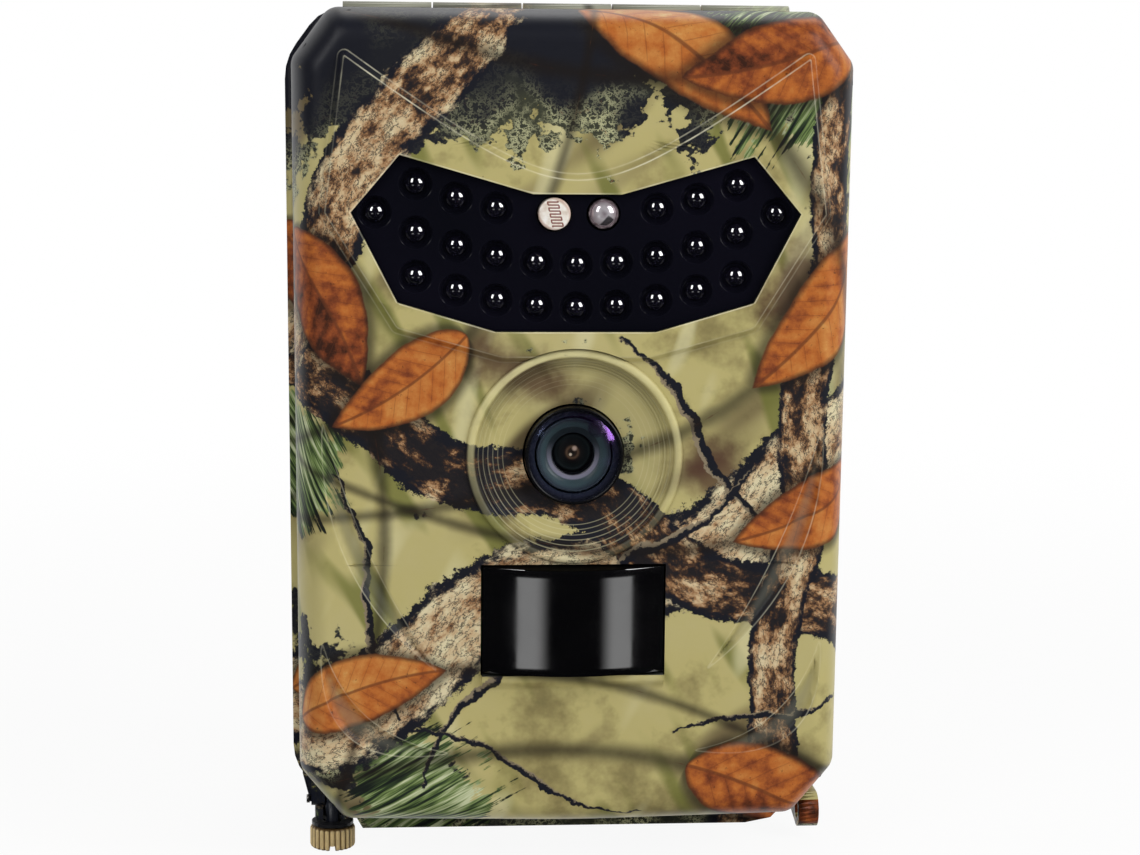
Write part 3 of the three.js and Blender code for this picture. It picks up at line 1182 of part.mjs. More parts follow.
// Cells alternate: the first stands with its nub up, the next with its nub down.
function addCells() {
  const profile = [
    [0, 0], [CELL_RADIUS - CELL_EDGE, 0], [CELL_RADIUS, CELL_EDGE], [CELL_RADIUS, CELL_LENGTH - CELL_EDGE],
    [CELL_RADIUS - CELL_EDGE, CELL_LENGTH], [CELL_NUB_RADIUS, CELL_LENGTH],
    [CELL_NUB_RADIUS, CELL_LENGTH + CELL_NUB_LENGTH], [0, CELL_LENGTH + CELL_NUB_LENGTH],
  ];
  for (let i = 0; i < CELL_COUNT; i += 1) {
    const cell = turned(profile, 20).rotateX(Math.PI / 2);
    if (i % 2 === 1) cell.rotateX(Math.PI).translate(0, 0, cellTop - cellBottom);
    cell.translate((i - (CELL_COUNT - 1) / 2) * CELL_SPACING, cellY, cellBottom);
    addMesh(`battery_${i + 1}`, cell, cellJacket);
  }
}

function addContacts() {
  const half = trayInnerHalf - GAP;
  const depth = CONTACT_HEIGHT / 2;
  const strip = (low) => box(-half, half, cellY - depth, cellY + depth, low, low + CONTACT_THICK);
  addMesh('contact_strip_bottom', strip(trayInnerBottom + GAP), steel);
  addMesh('contact_strip_top', strip(cellTop + GAP), steel);
}

addRearShell();
addSeal();
addBatteryTray();
addCells();
addContacts();
addTripodInsert();
addHingePin();
addPortPlug();
addDoorShell();
addInfraredPanel();
addLedBoard();
addEmitters();
addSensors();
addLens();
addMotionSensor();
addMainBoard();
addInnerCover();
addDisplay();
addButtons();
addModeSwitch();
addSwingPin();
addSwingBolt();
addNut();

export default model;
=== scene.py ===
"""Looks of a trail camera: moulded housing with a woodland print, dark infrared window, lens and motion sensor.

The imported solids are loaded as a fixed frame. Sizes below are in millimetres unless they say otherwise.
"""

import json
import math

import bmesh
import bpy
import numpy as np
from mathutils import Matrix, Vector, geometry


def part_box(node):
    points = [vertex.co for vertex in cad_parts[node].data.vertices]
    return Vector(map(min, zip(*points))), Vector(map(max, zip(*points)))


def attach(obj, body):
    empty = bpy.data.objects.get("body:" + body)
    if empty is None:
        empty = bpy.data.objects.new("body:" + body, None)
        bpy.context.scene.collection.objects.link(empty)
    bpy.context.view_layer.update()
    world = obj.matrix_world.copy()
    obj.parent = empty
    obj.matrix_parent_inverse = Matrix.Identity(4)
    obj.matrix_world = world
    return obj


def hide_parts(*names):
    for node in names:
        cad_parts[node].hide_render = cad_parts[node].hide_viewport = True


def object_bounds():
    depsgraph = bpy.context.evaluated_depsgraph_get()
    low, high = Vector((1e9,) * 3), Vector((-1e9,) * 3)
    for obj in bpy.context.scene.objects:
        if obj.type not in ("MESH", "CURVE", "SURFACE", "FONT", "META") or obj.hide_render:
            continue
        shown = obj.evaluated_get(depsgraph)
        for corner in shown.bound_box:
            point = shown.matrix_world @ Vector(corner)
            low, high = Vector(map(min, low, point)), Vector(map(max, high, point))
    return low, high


bl_info = {
    "name": "Trail Camera Looks",
    "version": (1, 0, 0),
    "blender": (4, 5, 0),
    "location": "3D View > Sidebar > Trail Camera",
    "description": "Builds the finished surfaces of a trail camera round its packed solids",
    "category": "Add Mesh",
}

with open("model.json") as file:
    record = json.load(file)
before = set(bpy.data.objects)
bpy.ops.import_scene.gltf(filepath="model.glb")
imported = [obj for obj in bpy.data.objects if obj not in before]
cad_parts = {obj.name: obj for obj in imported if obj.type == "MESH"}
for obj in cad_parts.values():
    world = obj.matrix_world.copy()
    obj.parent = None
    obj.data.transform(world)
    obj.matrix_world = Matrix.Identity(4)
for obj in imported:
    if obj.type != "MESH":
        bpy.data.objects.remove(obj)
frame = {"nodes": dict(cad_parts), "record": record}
CAD_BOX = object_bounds()
MM = 0.001

# The flat front, the rounded edge behind it, and the plane where the inner side of the rear wall begins
FRONT_Y = -39.0
EDGE_INSET = 5.2
EDGE_DEPTH = 9.0
EDGE_BACK_Y = FRONT_Y + EDGE_DEPTH
INNER_BACK_Y = 19.95
# Door outline, seen from the front: corners counterclockwise from the lower left, and their radii
DOOR_CORNERS = (
    (-36.95, 3.9), (0.0, 3.1), (36.95, 3.9), (44.15, 12.5), (44.9, 127.3),
    (38.9, 135.5), (-38.9, 135.5), (-44.9, 127.3), (-44.15, 12.5),
)
DOOR_RADII = (3.2, 300.0, 3.2, 3.2, 3.2, 3.2, 3.2, 3.2, 3.2)
# Infrared window: half width and height at its corners, from the bottom up, and last at the dip in its top edge
WINDOW_SIDE = ((12.7, 84.9), (28.2, 89.5), (35.5, 103.6), (27.9, 112.6), (7.0, 106.6))
WINDOW = (*((-x, z) for x, z in WINDOW_SIDE[1::-1]), *WINDOW_SIDE, *((-x, z) for x, z in WINDOW_SIDE[:1:-1]))
WINDOW_LEVELS = tuple(sorted(z for _, z in WINDOW_SIDE))
WINDOW_LOW, WINDOW_TOP = WINDOW_LEVELS[0], WINDOW_LEVELS[-1]
DIP_HALF, DIP_Z = WINDOW_SIDE[-1]
HOOD_FOOT = ((-28.2, 85.6), (-11.8, 81.0), (11.8, 81.0), (28.2, 85.6), (39.4, 103.6))
# Crescent scoops on the right half: both ends, and the bows of the inner and outer edge
SCOOPS = (((40.0, 70.0), (22.0, 30.1), 2.0, 5.6), ((40.3, 34.6), (20.3, 16.4), 4.2, 8.4))
DISH_Z = 64.8
DISH_REACH = 17.45
PIR_HALF = 14.9
PIR_LOW = 29.4
PIR_HIGH = 47.3
LEDGE_LOW = 26.8
# Motion window: half width, lower and upper edge, how far it bows forward and how thick it is
MOTION_HALF = 14.6
MOTION_LOW = 29.7
MOTION_HIGH = 47.0
MOTION_BOW = 3.9
MOTION_THICK = 3.0
LENS_Y = -38.7
# How far the print is moved up on the rear half, and aside on faces that look back
PRINT_UP = 58.0
PRINT_ASIDE = 208.0


# Geometry worked out as whole arrays

def offset_corners(corners, inward):
    """Corners of an outline whose edges each move inward along their own normal and meet again.

    Gives with them the normals of the edges before and after each."""
    point = np.asarray(corners, float)
    edge = np.roll(point, -1, 0) - point
    normal = np.stack([-edge[:, 1], edge[:, 0]], 1) / np.hypot(*edge.T)[:, None]
    reach = (normal * point).sum(1) + inward
    before, reach_before = np.roll(normal, 1, 0), np.roll(reach, 1)
    area = before[:, 0] * normal[:, 1] - before[:, 1] * normal[:, 0]
    x = (reach_before * normal[:, 1] - reach * before[:, 1]) / area
    z = (before[:, 0] * reach - normal[:, 0] * reach_before) / area
    return np.stack([x, z], 1), before, normal


def rounded_path(corners, radii, inward, arc=10, pitch=0.9):
    """A closed outline with round corners: an arc at each corner, then even steps along the edge to the next.

    The number of points depends only on the outline itself, so two insets of one outline match point by point.
    Gives the points and their outward normals."""
    corner, before, normal = offset_corners(corners, inward)
    radii = np.asarray(radii, float)
    turn = np.arctan2(before[:, 0] * normal[:, 1] - before[:, 1] * normal[:, 0], (before * normal).sum(1))
    bisector = before + normal
    bisector /= np.hypot(*bisector.T)[:, None]
    centre = corner + bisector * (radii / np.cos(turn / 2))[:, None]
    start = np.arctan2(before[:, 1], before[:, 0])
    angle = start[:, None] + turn[:, None] * np.linspace(0, 1, arc)[None]
    inner = np.stack([np.cos(angle), np.sin(angle)], 2)
    arcs = centre[:, None] - inner * radii[:, None, None]
    base = np.asarray(corners, float)
    runs = np.ceil(np.hypot(*(np.roll(base, -1, 0) - base).T) / pitch).astype(int)
    points, normals = [], []
    for i, count in enumerate(runs):
        share = np.linspace(0, 1, count + 1)[1:-1, None]
        far = arcs[(i + 1) % len(runs), 0]
        points += [arcs[i], arcs[i, -1] * (1 - share) + far * share]
        normals += [-inner[i], -np.broadcast_to(normal[i], (count - 1, 2))]
    return np.concatenate(points), np.concatenate(normals)


def signed_distance(x, z, outline):
    """Distance to a closed outline: to its nearest edge, and below zero inside, by the parity of crossings."""
    a = np.asarray(outline, float)
    b = np.roll(a, -1, 0)
    px, pz = x.ravel()[:, None], z.ravel()[:, None]
    dx, dz = b[:, 0] - a[:, 0], b[:, 1] - a[:, 1]
    share = np.clip(((px - a[:, 0]) * dx + (pz - a[:, 1]) * dz) / (dx * dx + dz * dz), 0, 1)
    away = np.hypot(px - a[:, 0] - share * dx, pz - a[:, 1] - share * dz).min(1)
    crosses = (a[:, 1] > pz) != (b[:, 1] > pz)
    with np.errstate(divide="ignore", invalid="ignore"):
        right = px < a[:, 0] + (pz - a[:, 1]) * dx / dz
    inside = (crosses & right).sum(1) % 2 == 1
    return np.where(inside, -away, away).reshape(x.shape)


def ease(t):
    """A step that starts and ends level: 3t^2 - 2t^3."""
    t = np.clip(t, 0, 1)
    return t * t * (3 - 2 * t)


def crease(x):
    """Height of the fold over the window: a hyperbola, level at the middle and straight towards its ends."""
    return 108.7 + 0.76 * (np.hypot(x, 14.0) - 14.0)


def hood_outline():
    """The hood's foot below, and the fold above."""
    x = np.linspace(36.4, -36.4, 49)
    fold = np.stack([x, crease(x)], 1)
    return np.concatenate([np.array(HOOD_FOOT), fold, [(-39.4, 103.6)]])


def scoop_outline(start, end, inner, outer, side):
    """A crescent between two parabolic bows over the chord from start to end."""
    a, b = np.array([side * start[0], start[1]]), np.array([side * end[0], end[1]])
    chord = b - a
    out = np.array([-chord[1], chord[0]]) / np.hypot(*chord) * side
    t = np.linspace(0, 1, 33)[:, None]
    far, near = (a + chord * t + out * 4 * bow * t * (1 - t) for bow in (outer, inner))
    return np.concatenate([far, near[-2:0:-1]])


def relief(x, z, sizes):
    """How far the front stands behind its plane, from all raised and sunk forms but the dish.

    The hood is a plateau with eased flanks, each scoop sinks within 0.6 mm of its whole outline, and the ledge
    under the motion sensor slopes down from a short flat."""
    rise, draft = sizes.hood_rise / MM, sizes.hood_draft / MM
    depth = -rise * (1 - ease(signed_distance(x, z, hood_outline()) / draft))
    for scoop in SCOOPS:
        for side in (1, -1):
            inside = -signed_distance(x, z, scoop_outline(*scoop, side))
            depth = depth + sizes.scoop_depth / MM * ease(inside / 0.6)
    under = (np.abs(x) < 14.75) & (z > LEDGE_LOW - 0.2) & (z < PIR_LOW + 0.01)
    return depth - np.where(under, 1.55 * ease((z - LEDGE_LOW) / 1.9), 0)


def edge_profile(steps=18):
    """Inset and depth shares of the rounded front edge: a quarter superellipse of power 2.1."""
    angle = np.linspace(0, math.pi / 2, steps)
    power = 2 / 2.1
    return 1 - np.cos(angle).clip(0) ** power, 1 - np.sin(angle) ** power


def read(items, field, width=1, kind=np.float32):
    """One value, or a row of width values, of every item of a mesh."""
    values = np.empty(len(items) * width, kind)
    items.foreach_get(field, values)
    return values.reshape(-1, width) if width > 1 else values


def write_vectors(mesh, name, domain, vectors):
    """Puts a vector for each point or corner into an attribute of the mesh."""
    layer = mesh.attributes.new(name, "FLOAT_VECTOR", domain)
    layer.data.foreach_set("vector", vectors.astype(np.float32).ravel())


class Sheets:
    """Collects grids of points, in millimetres, into one mesh."""

    def __init__(self):
        self.points, self.faces, self.prints, self.count = [], [], [], 0

    def add(self, points, keep=None, wrap=False, flip=False, prints=None):
        """A grid of rows and columns; wrap closes each row, keep says which cells have a face."""
        rows, columns = points.shape[:2]
        index = np.arange(rows * columns).reshape(rows, columns) + self.count
        if wrap:
            index = np.concatenate([index, index[:, :1]], 1)
        quads = np.stack([index[:-1, :-1], index[:-1, 1:], index[1:, 1:], index[1:, :-1]], 2)
        quads = quads[keep] if keep is not None else quads.reshape(-1, 4)
        self.faces.append(quads[:, ::-1] if flip else quads)
        self.points.append(points.reshape(-1, 3))
        if prints is None:
            prints = np.stack([points[..., 0], points[..., 2], np.zeros((rows, columns))], 2)
        self.prints.append(prints.reshape(-1, 3))
        self.count += rows * columns
        return self

    def add_faces(self, points, faces):
        """Loose faces of three or four corners, as from a flat tessellation."""
        self.faces.append(np.asarray(faces) + self.count)
        self.points.append(points)
        self.prints.append(points[:, (0, 2, 1)] * (1, 1, 0))
        self.count += len(points)
        return self

    def mesh(self, name):
        """The mesh, in metres, with its doubled points merged and smooth shading."""
        mesh = bpy.data.meshes.new(name)
        points = np.concatenate(self.points) * MM
        corners = np.concatenate([f.ravel() for f in self.faces]).astype(np.int32)
        totals = np.concatenate([np.full(len(f), f.shape[1]) for f in self.faces]).astype(np.int32)
        mesh.vertices.add(len(points))
        mesh.vertices.foreach_set("co", points.astype(np.float32).ravel())
        mesh.loops.add(len(corners))
        mesh.loops.foreach_set("vertex_index", corners)
        mesh.polygons.add(len(totals))
        mesh.polygons.foreach_set("loop_start", (np.cumsum(totals) - totals).astype(np.int32))
        write_vectors(mesh, "print", "POINT", np.concatenate(self.prints))
        mesh.update(calc_edges=True)
        mesh.validate()
        work = bmesh.new()
        work.from_mesh(mesh)
        bmesh.ops.remove_doubles(work, verts=work.verts, dist=2e-7)
        work.to_mesh(mesh)
        work.free()
        mesh.shade_smooth()
        return mesh


def lathe(profile, centre, segments):
    """A profile of (radius, depth) turned round an axis that runs back through the centre.

    Gives a grid to wrap, whose faces look out where the profile runs from the middle of the front outward."""
    radius, depth = np.asarray(profile, float).T
    angle = np.linspace(0, 2 * math.pi, segments, endpoint=False)
    x = radius[:, None] * np.cos(angle)
    z = -radius[:, None] * np.sin(angle)
    return np.stack([x, np.broadcast_to(depth[:, None], x.shape), z], 2) + np.asarray(centre, float)


def centre_of(node):
    """Centre, low corner and high corner of a solid's box."""
    low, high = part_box(node)
    return np.array((low + high) / 2) / MM, np.array(low) / MM, np.array(high) / MM


def front_of(node):
    """Middle of the front side of a solid's box."""
    centre, low, _ = centre_of(node)
    return centre[0], low[1], centre[2]


# Pieces

def place(name, mesh, finish, body, nodes, sharp):
    """Puts a finished mesh in the scene on its body, in the place of the solids that it stands for. Its edges are
    sharp where they turn by more than an angle in degrees."""
    piece = bpy.data.objects.new(name, mesh)
    bpy.context.scene.collection.objects.link(piece)
    mesh.materials.clear()
    mesh.materials.append(finish)
    mesh.set_sharp_from_angle(angle=math.radians(sharp))
    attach(piece, body)
    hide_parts(*nodes)


def turned(name, profile, at, segments, finish, node, sharp):
    """Puts a turned piece of the door in the scene, in the place of one solid."""
    mesh = Sheets().add(lathe(profile, at, segments), wrap=True).mesh(name)
    place(name, mesh, finish, "door", [node], sharp)


def merged_copy(node, drop=None):
    """A copy of a solid's mesh with its loose triangles joined. drop takes corner points and normals in
    millimetres, one row of three corners for each triangle, and says which triangles are left out."""
    mesh = frame["nodes"][node].data.copy()
    work = bmesh.new()
    work.from_mesh(mesh)
    bmesh.ops.remove_doubles(work, verts=work.verts, dist=1e-6)
    if drop is not None:
        bmesh.ops.triangulate(work, faces=work.faces)
        work.faces.ensure_lookup_table()
        corners = np.array([[v.co for v in f.verts] for f in work.faces]) / MM
        normals = np.array([f.normal for f in work.faces])
        gone = drop(corners, normals)
        bmesh.ops.delete(work, geom=[f for f, g in zip(work.faces, gone) if g], context="FACES")
    work.to_mesh(mesh)
    work.free()
    mesh.shade_smooth()
    return mesh


def wrap_print(mesh, wall, shift=0.0):
    """Gives each face corner its place in the print, in millimetres: the front seen from the front, and the
    sides unfolded outward from the door's edge by their depth. The third number is 1 on the faces of the
    inner side, which lie further in than wall, measured from the door's outline. shift moves the print up
    on the sides and the back, so that it doesn't mirror the door's."""
    point = read(mesh.vertices, "co", 3)[read(mesh.loops, "vertex_index", kind=np.int32)] / MM
    sides = read(mesh.polygons, "loop_total", kind=np.int32)
    normal = np.repeat(read(mesh.polygons, "normal", 3), sides, 0)
    flat = np.hypot(normal[:, 0], normal[:, 2])
    out = normal[:, (0, 2)] / np.maximum(flat, 1e-6)[:, None]
    unfold = np.where(flat > 0.7, EDGE_EXTRA + point[:, 1] - EDGE_BACK_Y, 0)
    behind = (flat <= 0.7) & (normal[:, 1] > 0)
    place_in = np.zeros_like(point)
    place_in[:, 0] = point[:, 0] + out[:, 0] * unfold + np.where(behind, PRINT_ASIDE, 0)
    aside = behind | (flat > 0.7) & (np.abs(out[:, 0]) > 0.5)
    place_in[:, 1] = point[:, 2] + out[:, 1] * unfold + np.where(aside, shift, 0)
    path, _ = rounded_path(DOOR_CORNERS, DOOR_RADII, 0)
    deep = (signed_distance(point[:, 0], point[:, 2], path) < -wall) & (point[:, 1] < INNER_BACK_Y)
    deep = np.minimum.reduceat(deep, np.cumsum(sides) - sides)
    place_in[:, 2] = np.repeat(deep, sides)
    old = mesh.attributes.get("print")
    if old:
        mesh.attributes.remove(old)
    write_vectors(mesh, "print", "CORNER", place_in)


def edge_lengths(inset, depth):
    """Length of the rounded edge from each of its points to the flat front."""
    step = np.hypot(np.diff(inset), np.diff(depth))
    return np.concatenate([np.cumsum(step[::-1])[::-1], [0]])


INSET_SHARES, DEPTH_SHARES = edge_profile()
EDGE_LENGTHS = edge_lengths(EDGE_INSET * INSET_SHARES, EDGE_DEPTH * DEPTH_SHARES)
EDGE_EXTRA = EDGE_LENGTHS[0] - EDGE_INSET


def door_edge(sheets, sizes):
    """The rounded front edge: a superellipse quarter carried along the door's outline."""
    inset, depth = sizes.edge_inset / MM * INSET_SHARES, sizes.edge_depth / MM * DEPTH_SHARES
    grid, prints = [], []
    for inward, behind, length in zip(inset, depth, EDGE_LENGTHS):
        path, normal = rounded_path(DOOR_CORNERS, DOOR_RADII, inward)
        x, z = path.T
        y = FRONT_Y + behind + relief(x, z, sizes) * (1 - behind / EDGE_DEPTH)
        grid.append(np.stack([x, y, z], 1))
        spread = path + normal * (length - (EDGE_INSET - inward))
        prints.append(np.column_stack([spread, np.zeros(len(x))]))
    sheets.add(np.array(grid), wrap=True, prints=np.array(prints))


def face_rows(boundary, ring):
    """Levels of the face's rows: even steps, with a row at every level where an edge turns."""
    fixed = [*boundary[:, 1], *ring, *WINDOW_LEVELS, LEDGE_LOW, PIR_LOW, PIR_HIGH, 17.5]
    fixed = np.unique(np.round(fixed, 4))
    even = np.arange(fixed[0], fixed[-1], 0.42)
    clear = np.abs(even[:, None] - fixed).min(1) > 0.16
    return np.unique(np.concatenate([fixed, even[clear]]))


def front_face(sheets, sizes):
    """The flat front with its openings: in each row the columns run evenly between the middle, the window's
    dip, the side of whatever opening is at that level and the outline, so every opening has a clean edge."""
    path, _ = rounded_path(DOOR_CORNERS, DOOR_RADII, sizes.edge_inset / MM)
    right = path[(path[:, 0] > 30.0)]
    right = right[np.argsort(right[:, 1])]
    low = right[0, 1]
    angle = np.linspace(-90, 90, 97)
    ring = DISH_Z + DISH_REACH * np.sin(np.radians(angle))
    level = face_rows(right, ring)
    outline = np.interp(level, right[:, 1], right[:, 0])
    window_x, window_z = zip(*WINDOW_SIDE[:4])
    side_z = [0, PIR_HIGH, *ring, *window_z, 140]
    dish_x = DISH_REACH * np.cos(np.radians(angle[1:-1]))
    side_x = [PIR_HALF, PIR_HALF, 0, *dish_x, 0, *window_x, window_x[-1]]
    side = np.interp(level, side_z, side_x)
    over_dip = np.interp(level, [DIP_Z, WINDOW_TOP, 115.0, 140], [DIP_HALF, window_x[-1], 14.0, 14.0])
    dip = np.where(level > DIP_Z, over_dip, np.minimum(side / 2, DIP_HALF))
    counts = (34, 36, 60)
    knots = np.stack([np.zeros_like(level), dip, side, outline], 1)
    half = np.concatenate([
        knots[:, i, None] * (1 - s) + knots[:, i + 1, None] * s
        for i, n in enumerate(counts) for s in [np.arange(n) / n]
    ] + [outline[:, None]], 1)
    x = np.concatenate([-half[:, :0:-1], half], 1)
    z = np.broadcast_to(level[:, None], x.shape).copy()
    bottom = path[path[:, 1] < low + 0.001]
    bottom = bottom[np.argsort(bottom[:, 0])]
    drop = np.interp(x, bottom[:, 0], bottom[:, 1] - low, left=0, right=0)
    z += drop * (1 - ease((z - low) / 7.0))
    mid = (level[1:] + level[:-1]) / 2
    region = np.concatenate([np.full(n, i) for i, n in enumerate(counts)])
    region = np.concatenate([region[::-1], region])
    inner = region[None] < 2
    hole = inner & ((mid > PIR_LOW) & (mid < PIR_HIGH) | (mid > ring[0]) & (mid < ring[-1]))[:, None]
    hole |= inner & ((mid > WINDOW_LOW) & (mid < DIP_Z))[:, None]
    hole |= (region[None] == 1) & ((mid > DIP_Z) & (mid < WINDOW_TOP))[:, None]
    sheets.add(np.stack([x, FRONT_Y + relief(x, z, sizes), z], 2), keep=~hole)


def dish_profile(sizes):
    """Radius and depth of the dish from its rim inward: a round crest, fine soft steps, then a cone."""
    lip = sizes.lip_rise / MM
    half_turn = np.radians(np.linspace(0, 180, 15))[:-1]
    profile = [(DISH_REACH, 0.0), *((16.65 + 0.75 * np.cos(t), -lip * np.sin(t)) for t in half_turn)]
    radius, depth = 15.9, -0.05
    for _ in range(4):
        profile += [(radius, depth), (radius - 0.03, depth + 0.22), (radius - 0.10, depth + 0.30)]
        profile += [(radius - 0.34, depth + 0.36), (radius - 0.44, depth + 0.355)]
        radius, depth = radius - 0.48, depth + 0.36
    profile += [(radius, depth), (radius - 0.05, depth + 0.05)]
    share = np.linspace(0.06, 1, 22)
    cone = [(radius + (8.2 - radius) * s, depth + (2.6 - depth) * (1 - (1 - s) ** 1.6)) for s in share]
    return profile + cone + [(8.2, 3.4)]


def note_forms(mesh):
    """Gives each vertex 10 less its distance to the hood's, the window's and the scoops' outlines."""
    x, _, z = read(mesh.vertices, "co", 3).T.astype(float) / MM
    outlines = [scoop_outline(*scoop, side) for scoop in SCOOPS for side in (1, -1)]
    scoops = np.min([signed_distance(x, z, outline) for outline in outlines], 0)
    near = np.stack([signed_distance(x, z, hood_outline()), signed_distance(x, z, WINDOW), scoops], 1)
    write_vectors(mesh, "form", "POINT", 10 - np.clip(near, -5, 5))


def front_shell(sizes, finish):
    """Front housing: rounded edge, face and dish as fine surfaces, and the solid's inner side behind them."""
    sheets = Sheets()
    door_edge(sheets, sizes)
    front_face(sheets, sizes)
    sheets.add(lathe(dish_profile(sizes), (0, FRONT_Y, DISH_Z), 192), wrap=True, flip=True)
    mesh = sheets.mesh("front_shell_skin")
    note_forms(mesh)
    place("front_shell_skin", mesh, finish, "door", ["front_shell"], 60)

    def outer(corners, normals):
        """The solid's triangles that the fine surfaces stand for."""
        x, y, z = corners[..., 0], corners[..., 1], corners[..., 2]
        path, _ = rounded_path(DOOR_CORNERS, DOOR_RADII, 0)
        inward = np.clip(-signed_distance(x, z, path) / EDGE_INSET, 0, 1)
        bend = np.interp(inward, INSET_SHARES, DEPTH_SHARES) * EDGE_DEPTH
        behind = y - (FRONT_Y + bend + relief(x, z, sizes))
        skin = (behind < 1.9).all(1) & (y < EDGE_BACK_Y + 0.05).all(1) & (normals[:, 1] < 0.02)
        from_dish = np.hypot(x, z - DISH_Z)
        dish = (from_dish < 17.8) & (from_dish > 8.1) & (y < -36.3)
        return skin | dish.all(1) & (normals[:, 1] < 0.5)

    mesh = merged_copy("front_shell", outer)
    wrap_print(mesh, 2.1)
    place("front_shell_inside", mesh, finish, "door", ["front_shell"], 32)


def round_hole_face(outline, holes, y, segments=40):
    """A flat face with round holes: one outline and one ring of points per hole, joined by triangles."""
    angle = np.linspace(0, 2 * math.pi, segments, endpoint=False)
    loops = [np.asarray(outline, float)]
    loops += [np.stack([x + r * np.cos(angle), z + r * np.sin(angle)], 1) for x, z, r in holes]
    points = np.concatenate(loops)
    faces = geometry.tessellate_polygon([[Vector((x, z, 0)) for x, z in loop] for loop in loops])
    faces = np.array(faces)
    a, b, c = (points[faces[:, i]] for i in range(3))
    turn = (b[:, 0] - a[:, 0]) * (c[:, 1] - a[:, 1]) - (b[:, 1] - a[:, 1]) * (c[:, 0] - a[:, 0])
    faces[turn < 0] = faces[turn < 0][:, ::-1]
    return np.column_stack([points[:, 0], np.full(len(points), y), points[:, 1]]), faces


def infrared_panel(finish):
    """Dark window pane: a flat face with a coned cup round each emitter and a hole for each small sensor."""
    emitters = [n for n in frame["nodes"] if n.startswith("ir_led_")]
    places = np.array([centre_of(n)[0] for n in emitters])
    face_y = FRONT_Y - 0.2
    outline, _, _ = offset_corners(WINDOW, 0.06)
    sensors = [(centre_of(n)[0], r) for n, r in (("light_sensor", 2.9), ("indicator_led", 2.75))]
    holes = [(x, z, 2.75) for x, _, z in places] + [(c[0], c[2], r) for c, r in sensors]
    sheets = Sheets()
    sheets.add_faces(*round_hole_face(outline, holes, face_y))
    cup = [(2.75, 0), (2.66, 0.03), (2.58, 0.10), (2.12, 1.0), (2.04, 1.16), (1.98, 1.2), (0.0, 1.3)]
    for x, _, z in places:
        sheets.add(lathe(cup, (x, face_y, z), 40), wrap=True, flip=True)
    for centre, radius in sensors:
        well = [(radius, 0), (radius - 0.06, 0.05), (radius - 0.06, 2.6), (0, 2.6)]
        sheets.add(lathe(well, (centre[0], face_y, centre[2]), 40), wrap=True, flip=True)
    edge = np.array([[(x, y, z) for x, z in outline] for y in (face_y, face_y + 3.0)])
    sheets.add(edge, wrap=True, flip=True)
    points, faces = round_hole_face(outline, [], face_y + 3.0)
    sheets.add_faces(points, faces[:, ::-1])
    place("infrared_panel", sheets.mesh("infrared_panel"), finish, "door", ["ir_panel"], 12)


def emitter_domes(finish):
    """Each emitter: a straight barrel with a round dome, turned about its own axis."""
    for node in sorted(n for n in frame["nodes"] if n.startswith("ir_led_")):
        dome = [(1.7 * math.sin(t), 1.55 * (1 - math.cos(t))) for t in np.linspace(0, math.pi / 2, 18)]
        dome += [(1.7, 4.0), (2.1, 4.02), (2.1, 5.0), (0, 5.0)]
        turned(f"{node}_dome", dome, front_of(node), 48, finish, node, 50)


def small_sensors(face, clear):
    """Light sensor disc with an eased rim, and the clear domed indicator in a dark collar."""
    disc = [(0, 0.0), (2.2, 0.0), (2.36, 0.03), (2.46, 0.10), (2.52, 0.24), (2.55, 0.4), (2.55, 3.6), (0, 3.6)]
    turned("light_sensor_disc", disc, front_of("light_sensor"), 64, face, "light_sensor", 50)
    dome = [(1.95 * math.sin(t), 1.1 * (1 - math.cos(t))) for t in np.linspace(0, math.pi / 2, 16)]
    dome += [(1.98, 1.2), (2.1, 1.0), (2.3, 0.98), (2.38, 1.06), (2.4, 1.2), (2.4, 3.6), (0, 3.6)]
    turned("indicator_dome", dome, front_of("indicator_led"), 64, clear, "indicator_led", 40)


def lens(black, mouth, glass):
    """Bezel ring, dished barrel with a sunk pupil, and the crowned front glass, all turned about one axis."""
    at = (0, LENS_Y, DISH_Z)
    ring = [(6.3, 1.6), (7.3, 1.6), (7.3, 0.25), (7.36, 0.10), (7.5, 0.0), (7.7, 0.0), (7.84, 0.07), (7.9, 0.2)]
    ring += [(7.9, 6.0), (6.3, 6.0), (6.3, 1.6)]
    turned("lens_bezel_ring", ring, at, 128, black, "lens_bezel", 40)
    share = np.linspace(0, 1, 20)
    dished = [(5.7 - 1.5 * s, 1.6 + 1.5 * (1 - (1 - s) ** 1.7)) for s in share]
    pupil = [(3.3 * math.cos(t), 5.5 - 1.1 * math.sin(t)) for t in np.linspace(0, math.pi / 2, 16)]
    barrel = [(6.0, 14.2), (6.0, 1.75), (5.9, 1.62), (5.7, 1.6), *dished, (4.1, 3.14), (3.5, 3.14), (3.4, 3.2)]
    barrel = [(0, 14.2), *barrel, (3.4, 5.5), *pupil]
    turned("lens_barrel_mouth", barrel[::-1], at, 128, mouth, "lens_barrel", 30)
    crown = [(7.0 * s, -1.45 * (1 - s * s)) for s in np.linspace(0, 1, 28)]
    turned("lens_front_glass", [*crown, (7.0, 1.1), (0, 1.1)], at, 128, glass, "lens_glass", 60)


